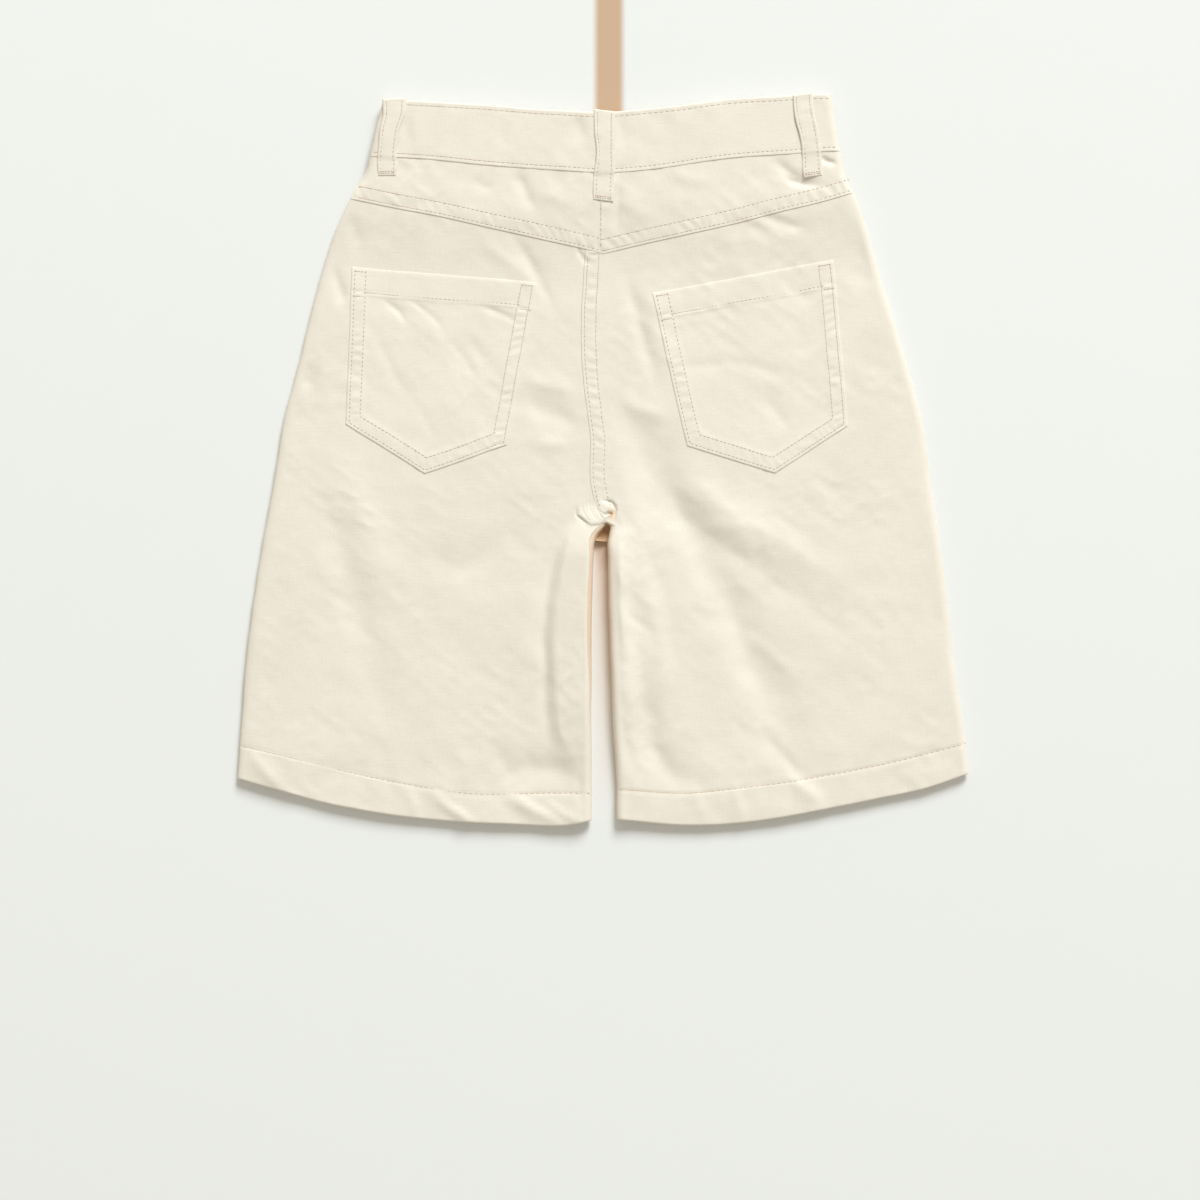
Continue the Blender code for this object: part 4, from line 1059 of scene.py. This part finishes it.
def stitchTree():
    tree = bpy.data.node_groups.new("stitchRow", "GeometryNodeTree")
    sockets = tree.interface
    sockets.new_socket("Geometry", in_out="INPUT", socket_type="NodeSocketGeometry")
    for label in ("Pitch", "Stitch Length", "Thread Radius", "Hole Radius"):
        sockets.new_socket(label, in_out="INPUT", socket_type="NodeSocketFloat")
    sockets.new_socket("Seed", in_out="INPUT", socket_type="NodeSocketInt")
    for label in ("Thread", "Hole"):
        sockets.new_socket(label, in_out="INPUT", socket_type="NodeSocketMaterial")
    sockets.new_socket("Geometry", in_out="OUTPUT", socket_type="NodeSocketGeometry")
    link = tree.links.new

    def node(kind, **settings):
        made = tree.nodes.new(kind)
        for key, value in settings.items():
            setattr(made, key, value)
        return made

    given, result = node("NodeGroupInput"), node("NodeGroupOutput")
    curve = node("GeometryNodeMeshToCurve")
    link(given.outputs["Geometry"], curve.inputs["Mesh"])
    trimmed = node("GeometryNodeTrimCurve", mode="LENGTH")
    link(curve.outputs["Curve"], trimmed.inputs["Curve"])
    # the threads start half a pitch along, so that each lies between two holes
    link(maths(tree, "MULTIPLY", given.outputs["Pitch"], 0.5), trimmed.inputs[4])
    trimmed.inputs[5].default_value = 100.0   # past the end of any row, in metres
    tangent = node("GeometryNodeInputTangent")
    bead, pit = node("GeometryNodeMeshUVSphere"), node("GeometryNodeMeshIcoSphere")
    bead.inputs["Segments"].default_value, bead.inputs["Rings"].default_value = 8, 5
    thin, wide = given.outputs["Thread Radius"], given.outputs["Hole Radius"]
    halfLong = maths(tree, "MULTIPLY", given.outputs["Stitch Length"], 0.5)
    # the holes are dark discs painted as the shade in each needle hole
    kinds = (("Thread", trimmed, bead, (halfLong, thin, thin)),
             ("Hole", curve, pit, (wide, wide, maths(tree, "MULTIPLY", wide, 0.4))))
    parts = []
    for label, source, ball, sizes in kinds:
        spaced = node("GeometryNodeResampleCurve", mode="LENGTH")
        link(source.outputs["Curve"], spaced.inputs["Curve"])
        link(given.outputs["Pitch"], spaced.inputs["Length"])
        size = node("ShaderNodeCombineXYZ")
        for value, socket in zip(sizes, size.inputs):
            link(value, socket)
        scaled = node("GeometryNodeTransform")
        link(ball.outputs["Mesh"], scaled.inputs["Geometry"])
        link(size.outputs[0], scaled.inputs["Scale"])
        turned = node("FunctionNodeAlignRotationToVector", axis="X")
        link(tangent.outputs[0], turned.inputs["Vector"])
        wobble = node("FunctionNodeRandomValue", data_type="FLOAT")
        wobble.inputs["Min"].default_value, wobble.inputs["Max"].default_value = thread["Uneven"]
        link(given.outputs["Seed"], wobble.inputs["Seed"])
        placed = node("GeometryNodeInstanceOnPoints")
        link(spaced.outputs["Curve"], placed.inputs["Points"])
        link(scaled.outputs["Geometry"], placed.inputs["Instance"])
        link(turned.outputs["Rotation"], placed.inputs["Rotation"])
        link(wobble.outputs[1], placed.inputs["Scale"])
        solid = node("GeometryNodeRealizeInstances")
        link(placed.outputs["Instances"], solid.inputs["Geometry"])
        painted = node("GeometryNodeSetMaterial")
        link(solid.outputs["Geometry"], painted.inputs["Geometry"])
        link(given.outputs[label], painted.inputs["Material"])
        parts.append(painted)
    joined = node("GeometryNodeJoinGeometry")
    for part in parts:
        link(part.outputs["Geometry"], joined.inputs["Geometry"])
    smooth = node("GeometryNodeSetShadeSmooth")
    link(joined.outputs["Geometry"], smooth.inputs["Geometry"])
    link(smooth.outputs["Geometry"], result.inputs["Geometry"])
    return tree


def sewRows(name, rows, tree, threadFinish, holeShadeFinish):
    meshes = []
    for kind in sorted({kind for kind, _ in rows}):
        points, edges = [], []
        for _, path in (row for row in rows if row[0] == kind):
            path = drift(path.copy())
            path[:, 2] += thread["Lift"] * (1 if name.startswith("back") else -1)
            edges += [(len(points) + i, len(points) + i + 1) for i in range(len(path) - 1)]
            points += (path * mm).tolist()
        mesh = bpy.data.meshes.new(name + kind)
        mesh.from_pydata(points, edges, [])
        guide = bpy.data.objects.new(name + kind, mesh)
        bpy.context.collection.objects.link(guide)
        sewn = guide.modifiers.new("stitches", "NODES")
        sewn.node_group = tree
        values = {label: size * mm for label, size in thread[kind].items()}
        values.update({label: thread[label] * mm for label in ("Thread Radius", "Hole Radius")})
        values.update({"Seed": thread["Seed"], "Thread": threadFinish, "Hole": holeShadeFinish})
        for item in tree.interface.items_tree:
            if item.in_out == "INPUT" and item.name in values:
                sewn[item.identifier] = values[item.name]
        ready = guide.evaluated_get(bpy.context.evaluated_depsgraph_get())
        meshes.append(bpy.data.meshes.new_from_object(ready))
        bpy.data.objects.remove(guide, do_unlink=True)
    together = bmesh.new()
    for mesh in meshes:
        together.from_mesh(mesh)
    result = bpy.data.meshes.new(name)
    together.to_mesh(result)
    together.free()
    for finish in (threadFinish, holeShadeFinish):
        result.materials.append(finish)
    piece = bpy.data.objects.new(name, result)
    bpy.context.collection.objects.link(piece)
    return piece


def shaderGroup(name, inputs, outputs):
    group = bpy.data.node_groups.new(name, "ShaderNodeTree")
    for label, kind, value in inputs:
        socket = group.interface.new_socket(label, in_out="INPUT", socket_type=kind)
        if value is not None:
            socket.default_value = value
    for label, kind in outputs:
        group.interface.new_socket(label, in_out="OUTPUT", socket_type=kind)
    return group, group.nodes.new("NodeGroupInput"), group.nodes.new("NodeGroupOutput")


def noise(tree, vector, scale, detail=2.0, stretch=(1, 1, 1)):
    mapping = tree.nodes.new("ShaderNodeMapping")
    mapping.inputs["Scale"].default_value = stretch
    tree.links.new(vector, mapping.inputs["Vector"])
    made = tree.nodes.new("ShaderNodeTexNoise")
    made.inputs["Scale"].default_value = scale
    made.inputs["Detail"].default_value = detail
    tree.links.new(mapping.outputs[0], made.inputs["Vector"])
    return made.outputs["Fac"]


def blend(tree, amount, first, second, kind="MIX"):
    # colours mixed by an amount; a colour may be a value or come from another node
    mix = tree.nodes.new("ShaderNodeMix")
    mix.data_type, mix.blend_type = "RGBA", kind
    tree.links.new(amount, mix.inputs[0])
    for colour, socket in ((first, mix.inputs[6]), (second, mix.inputs[7])):
        if isinstance(colour, bpy.types.NodeSocket):
            tree.links.new(colour, socket)
        else:
            socket.default_value = (*colour, 1)
    return mix.outputs[2]


def mapRange(tree, value, low, high, smooth=False):
    node = tree.nodes.new("ShaderNodeMapRange")
    node.interpolation_type = "SMOOTHSTEP" if smooth else "LINEAR"
    tree.links.new(value, node.inputs[0])
    node.inputs[1].default_value, node.inputs[2].default_value = low, high
    return node.outputs[0]


def twillWeaveGroup():
    # diagonal ribs of a twill, broken up by uneven yarns
    group, given, result = shaderGroup(
        "twillWeave",
        (("Vector", "NodeSocketVector", None), ("Ribs Per Metre", "NodeSocketFloat", 1100.0),
         ("Unevenness", "NodeSocketFloat", 0.6)),
        (("Height", "NodeSocketFloat"), ("Tone", "NodeSocketFloat")))
    vector, ribs = given.outputs["Vector"], given.outputs["Ribs Per Metre"]
    split = group.nodes.new("ShaderNodeSeparateXYZ")
    group.links.new(vector, split.inputs[0])
    u, v = split.outputs[0], split.outputs[1]
    uneven = maths(group, "MULTIPLY", maths(group, "SUBTRACT", noise(group, vector, 420, 1.0), 0.5),
                   given.outputs["Unevenness"])
    diagonal = maths(group, "ADD", maths(group, "MULTIPLY", maths(group, "ADD", u, v), ribs),
                     maths(group, "MULTIPLY", uneven, 3.0))
    rib = maths(group, "SINE", maths(group, "MULTIPLY", diagonal, 2 * math.pi))
    pick = maths(group, "SINE", maths(group, "MULTIPLY", maths(group, "MULTIPLY", v, ribs), 4 * math.pi))
    slub = noise(group, vector, 900, 2.0, (1.0, 0.12, 1.0))
    weft = noise(group, vector, 900, 2.0, (0.12, 1.0, 1.0))
    yarn = maths(group, "ADD", slub, weft)
    height = maths(group, "ADD", maths(group, "MULTIPLY", rib, 0.28), maths(group, "MULTIPLY", pick, 0.1))
    group.links.new(maths(group, "ADD", height, yarn), result.inputs["Height"])
    tone = maths(group, "ADD", maths(group, "MULTIPLY", rib, 0.12), maths(group, "SUBTRACT", yarn, 1.0))
    group.links.new(tone, result.inputs["Tone"])
    return group


def washedToneGroup():
    # slow changes of tone in washed cotton, from broad patches down to small flecks
    group, given, result = shaderGroup("washedTone", (("Vector", "NodeSocketVector", None),),
                                       (("Tone", "NodeSocketFloat"), ("Fleck", "NodeSocketFloat")))
    vector = given.outputs["Vector"]
    broad = maths(group, "SUBTRACT", noise(group, vector, 14, 2.0), 0.5)
    small = maths(group, "SUBTRACT", noise(group, vector, 90, 3.0), 0.5)
    group.links.new(maths(group, "ADD", maths(group, "MULTIPLY", broad, 1.2), small), result.inputs["Tone"])
    fleck = maths(group, "GREATER_THAN", noise(group, vector, 620, 1.0), 0.74)
    group.links.new(fleck, result.inputs["Fleck"])
    return group


# the orange and the dark brown colours here are painted warm shade and painted shade, not colours of the
# cloth
clothLook = {
    "light": (0.88, 0.82, 0.72), "deep": (0.82, 0.745, 0.625), "fleck": (0.74, 0.66, 0.52),
    "paintedWarmShade": (0.82, 0.61, 0.42), "hollow": (0.50, 0.27, 0.12), "ribs": 1100.0, "pocketTint": 1.01,
    "roughness": 0.88, "sheen": 0.10, "bump": 0.3, "crepe": 1.6,
}


def clothFinish(name, weave, washed, tint=1.0):
    finish = bpy.data.materials.new(name)
    finish.use_nodes = True
    tree = finish.node_tree
    shader = tree.nodes["Principled BSDF"]
    uv = tree.nodes.new("ShaderNodeUVMap")
    uv.uv_map = "clothMap"
    woven = tree.nodes.new("ShaderNodeGroup")
    woven.node_tree = weave
    woven.inputs["Ribs Per Metre"].default_value = clothLook["ribs"]
    tree.links.new(uv.outputs[0], woven.inputs["Vector"])
    place = tree.nodes.new("ShaderNodeTexCoord")
    worn = tree.nodes.new("ShaderNodeGroup")
    worn.node_tree = washed
    tree.links.new(place.outputs["Object"], worn.inputs["Vector"])
    # painted shade: the furrow attribute darkens the colour along the hem's row of stitches
    furrow = tree.nodes.new("ShaderNodeAttribute")
    furrow.attribute_name = "furrow"
    amount = maths(tree, "MULTIPLY", woven.outputs["Tone"], 0.55)
    amount = maths(tree, "ADD", amount, maths(tree, "MULTIPLY", worn.outputs["Tone"], 0.55))
    amount = maths(tree, "SUBTRACT", maths(tree, "ADD", amount, 0.62), furrow.outputs["Fac"], True)
    deep, light = ([c * tint for c in clothLook[label]] for label in ("deep", "light"))
    colour = blend(tree, amount, deep, light)
    colour = blend(tree, maths(tree, "MULTIPLY", worn.outputs["Fleck"], 0.3), colour, clothLook["fleck"])
    # painted warm shade by the gap, turning to the dark brown of painted shade in the crotch hollow
    paintedWarmShade = tree.nodes.new("ShaderNodeAttribute")
    paintedWarmShade.attribute_name = "paintedWarmShade"
    colour = blend(tree, maths(tree, "MULTIPLY", paintedWarmShade.outputs["Fac"], 0.85, True), colour, clothLook["paintedWarmShade"])
    colour = blend(tree, maths(tree, "SUBTRACT", paintedWarmShade.outputs["Fac"], 0.9, True), colour, clothLook["hollow"])
    tree.links.new(colour, shader.inputs["Base Color"])
    shader.inputs["Roughness"].default_value = clothLook["roughness"]
    shader.inputs["Specular IOR Level"].default_value = 0.25
    shader.inputs["Sheen Weight"].default_value = clothLook["sheen"]
    shader.inputs["Sheen Roughness"].default_value = 0.6
    bump = tree.nodes.new("ShaderNodeBump")
    bump.inputs["Strength"].default_value = clothLook["bump"]
    bump.inputs["Distance"].default_value = 0.00025
    crepe = maths(tree, "MULTIPLY", noise(tree, place.outputs["Object"], 260, 3.0), clothLook["crepe"])
    tree.links.new(maths(tree, "ADD", woven.outputs["Height"], crepe), bump.inputs["Height"])
    tree.links.new(bump.outputs[0], shader.inputs["Normal"])
    return finish


def plainFinish(name, colour, roughness, metallic=0.0, scale=300.0, change=0.12, bumpDepth=0.00005):
    # small solid pieces: a colour that varies a little, with a fine surface
    finish = bpy.data.materials.new(name)
    finish.use_nodes = True
    tree = finish.node_tree
    shader = tree.nodes["Principled BSDF"]
    place = tree.nodes.new("ShaderNodeTexCoord")
    grain = noise(tree, place.outputs["Object"], scale, 3.0)
    dark, pale = [c * (1 - change) for c in colour], [min(1, c * (1 + change)) for c in colour]
    tree.links.new(blend(tree, grain, dark, pale), shader.inputs["Base Color"])
    shader.inputs["Roughness"].default_value = roughness
    shader.inputs["Metallic"].default_value = metallic
    bump = tree.nodes.new("ShaderNodeBump")
    bump.inputs["Strength"].default_value = 0.4
    bump.inputs["Distance"].default_value = bumpDepth
    tree.links.new(grain, bump.inputs["Height"])
    tree.links.new(bump.outputs[0], shader.inputs["Normal"])
    return finish


weaveGroup, washedGroup = twillWeaveGroup(), washedToneGroup()
bodyTwill = clothFinish("bodyTwill", weaveGroup, washedGroup)
pocketTwill = clothFinish("pocketTwill", weaveGroup, washedGroup, clothLook["pocketTint"])
threadCotton = plainFinish("threadCotton", (0.84, 0.76, 0.62), 0.7, 0.0, 1800.0)
# needle holes: small dark discs painted as the shade inside each hole
paintedHoleShade = plainFinish("paintedHoleShade", (0.66, 0.54, 0.41), 0.95, 0.0, 900.0)
buttonResin = plainFinish("buttonResin", (0.70, 0.62, 0.48), 0.35, 0.0, 160.0, 0.2)
zipTapeWeave = plainFinish("zipTapeWeave", (0.80, 0.75, 0.64), 0.85, 0.0, 1400.0, 0.15)
zipBrass = plainFinish("zipBrass", (0.62, 0.50, 0.28), 0.32, 1.0, 500.0, 0.1)
print("finishes made")

# Each flat cut as far as it shows, made as a closed wall of cloth
made = {}
for hand in ("left", "right"):
    made["back_" + hand] = legPanel(hand + "BackLeg", hand, 1, seatSeamX, bodyTwill)
    made["front_" + hand] = legPanel(hand + "FrontLeg", hand, -1, flyX, bodyTwill)
    made["yoke_" + hand] = yokeHalf(hand + "Yoke", hand, bodyTwill)
made["waistband"] = waistBand("waistBand", bodyTwill)
for node, corners in pockets.items():
    made[node] = patchPocket(node.split("_")[1] + "Pocket", corners, pocketTwill)
for node, loop in loops.items():
    made[node] = beltLoop(node.replace("belt_loop_", "loop_"), loop, bodyTwill)
print("cloth made:", {node: len(piece.data.polygons) * 2 for node, piece in made.items()})

tree = stitchTree()
backStitches = sewRows("backStitches", backRows() + loopRows((1,)), tree, threadCotton, paintedHoleShade)
frontStitches = sewRows("frontStitches", frontRows() + loopRows((-1,)), tree, threadCotton, paintedHoleShade)
print("stitches made:", len(backStitches.data.polygons), len(frontStitches.data.polygons))

for node, piece in made.items():
    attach(piece, "root")
    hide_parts(node)
for piece in (backStitches, frontStitches):
    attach(piece, "root")

hardPieces = {"zip_tape": zipTapeWeave, "zip_slider": zipBrass, "button": buttonResin}
for node, finish in hardPieces.items():
    finishes = bpy.data.objects[node].data.materials
    finishes.clear()
    finishes.append(finish)

studio = {
    "floor": (0.85, 0.86, 0.84), "floorSpan": 4, "floorDrop": 0.0003,
    "world": 0.50, "worldColour": (1.0, 0.95, 0.85),
    "lampPower": 1060.0, "lampSize": 4.1, "lampColour": (0.91, 0.96, 1.0), "lampFrom": (2.7, 7.8, 5.6),
    "aim": (0.0, -0.09, 0.0), "eye": (-0.002, -0.0924), "eyeHeight": 2.4, "frameWidth": 0.792, "sensor": 36.0,
}
# painted bounce light and shade: a tint of the floor between the legs, from beyond the hems (0) to the crotch
# (1), warm at first and dark brown at the crotch
paintedGapTint = {
    "middle": 0.004, "reach": 0.012, "hems": -0.26, "crotch": -0.045,
    "tints": ((0.07, (1.0, 1.0, 1.0)), (0.28, (1.0, 0.955, 0.93)), (0.65, (1.0, 0.90, 0.83)),
              (0.86, (0.99, 0.82, 0.71)), (0.96, (0.72, 0.49, 0.33))),
}


def paintGapBounceAndShade(finish):
    # painted bounce light and shade: the warm light that the cloth on both sides would throw on the floor
    # between the legs, and the shade under the crotch, painted into the floor's colour
    tree = finish.node_tree
    place = tree.nodes.new("ShaderNodeTexCoord")
    axes = tree.nodes.new("ShaderNodeSeparateXYZ")
    tree.links.new(place.outputs["Object"], axes.inputs[0])
    beside = maths(tree, "ABSOLUTE", maths(tree, "SUBTRACT", axes.outputs["X"], paintedGapTint["middle"]))
    ramp = tree.nodes.new("ShaderNodeValToRGB")
    upGap = mapRange(tree, axes.outputs["Y"], paintedGapTint["hems"], paintedGapTint["crotch"])
    tree.links.new(upGap, ramp.inputs[0])
    while len(ramp.color_ramp.elements) < len(paintedGapTint["tints"]):
        ramp.color_ramp.elements.new(0.5)
    for element, (position, tint) in zip(ramp.color_ramp.elements, paintedGapTint["tints"]):
        element.position, element.color = position, (*tint, 1)
    amount = mapRange(tree, beside, paintedGapTint["reach"], paintedGapTint["reach"] / 2, True)
    colour = tree.nodes["Principled BSDF"].inputs["Base Color"]
    warmed = blend(tree, amount, colour.links[0].from_socket, ramp.outputs[0], "MULTIPLY")
    tree.links.new(warmed, colour)
    return finish


floorMesh = bpy.data.meshes.new("floor")
span, drop = studio["floorSpan"], -studio["floorDrop"]
floorMesh.from_pydata([(-span, -span, drop), (span, -span, drop), (span, span, drop), (-span, span, drop)],
                      [], [(0, 1, 2, 3)])
floor = bpy.data.objects.new("floor", floorMesh)
bpy.context.collection.objects.link(floor)
paperFloor = plainFinish("paperFloor", studio["floor"], 0.9, 0.0, 40.0, 0.004, 0.00002)
# the floor's colour carries painted bounce light and shade between the legs
floorMesh.materials.append(paintGapBounceAndShade(paperFloor))

world = bpy.data.worlds.new("studio")
world.use_nodes = True
world.node_tree.nodes["Background"].inputs[0].default_value = (*studio["worldColour"], 1)
world.node_tree.nodes["Background"].inputs[1].default_value = studio["world"]
bpy.context.scene.world = world

lamp = bpy.data.lights.new("softBox", "AREA")
lamp.shape, lamp.size, lamp.energy = "SQUARE", studio["lampSize"], studio["lampPower"]
lamp.color = studio["lampColour"]
lampObject = bpy.data.objects.new("softBox", lamp)
lampObject.location = studio["lampFrom"]
toAim = Vector(studio["aim"]) - Vector(studio["lampFrom"])
lampObject.rotation_euler = toAim.to_track_quat("-Z", "Y").to_euler()
bpy.context.collection.objects.link(lampObject)

eye = bpy.data.cameras.new("eye")
eye.sensor_width = studio["sensor"]
eye.lens = studio["sensor"] * studio["eyeHeight"] / studio["frameWidth"]
eye.clip_end = 20
eyeObject = bpy.data.objects.new("eye", eye)
eyeObject.location = (*studio["eye"], studio["eyeHeight"])
bpy.context.collection.objects.link(eyeObject)
bpy.context.scene.camera = eyeObject
bpy.context.scene.view_settings.view_transform = "Standard"
print("studio ready")
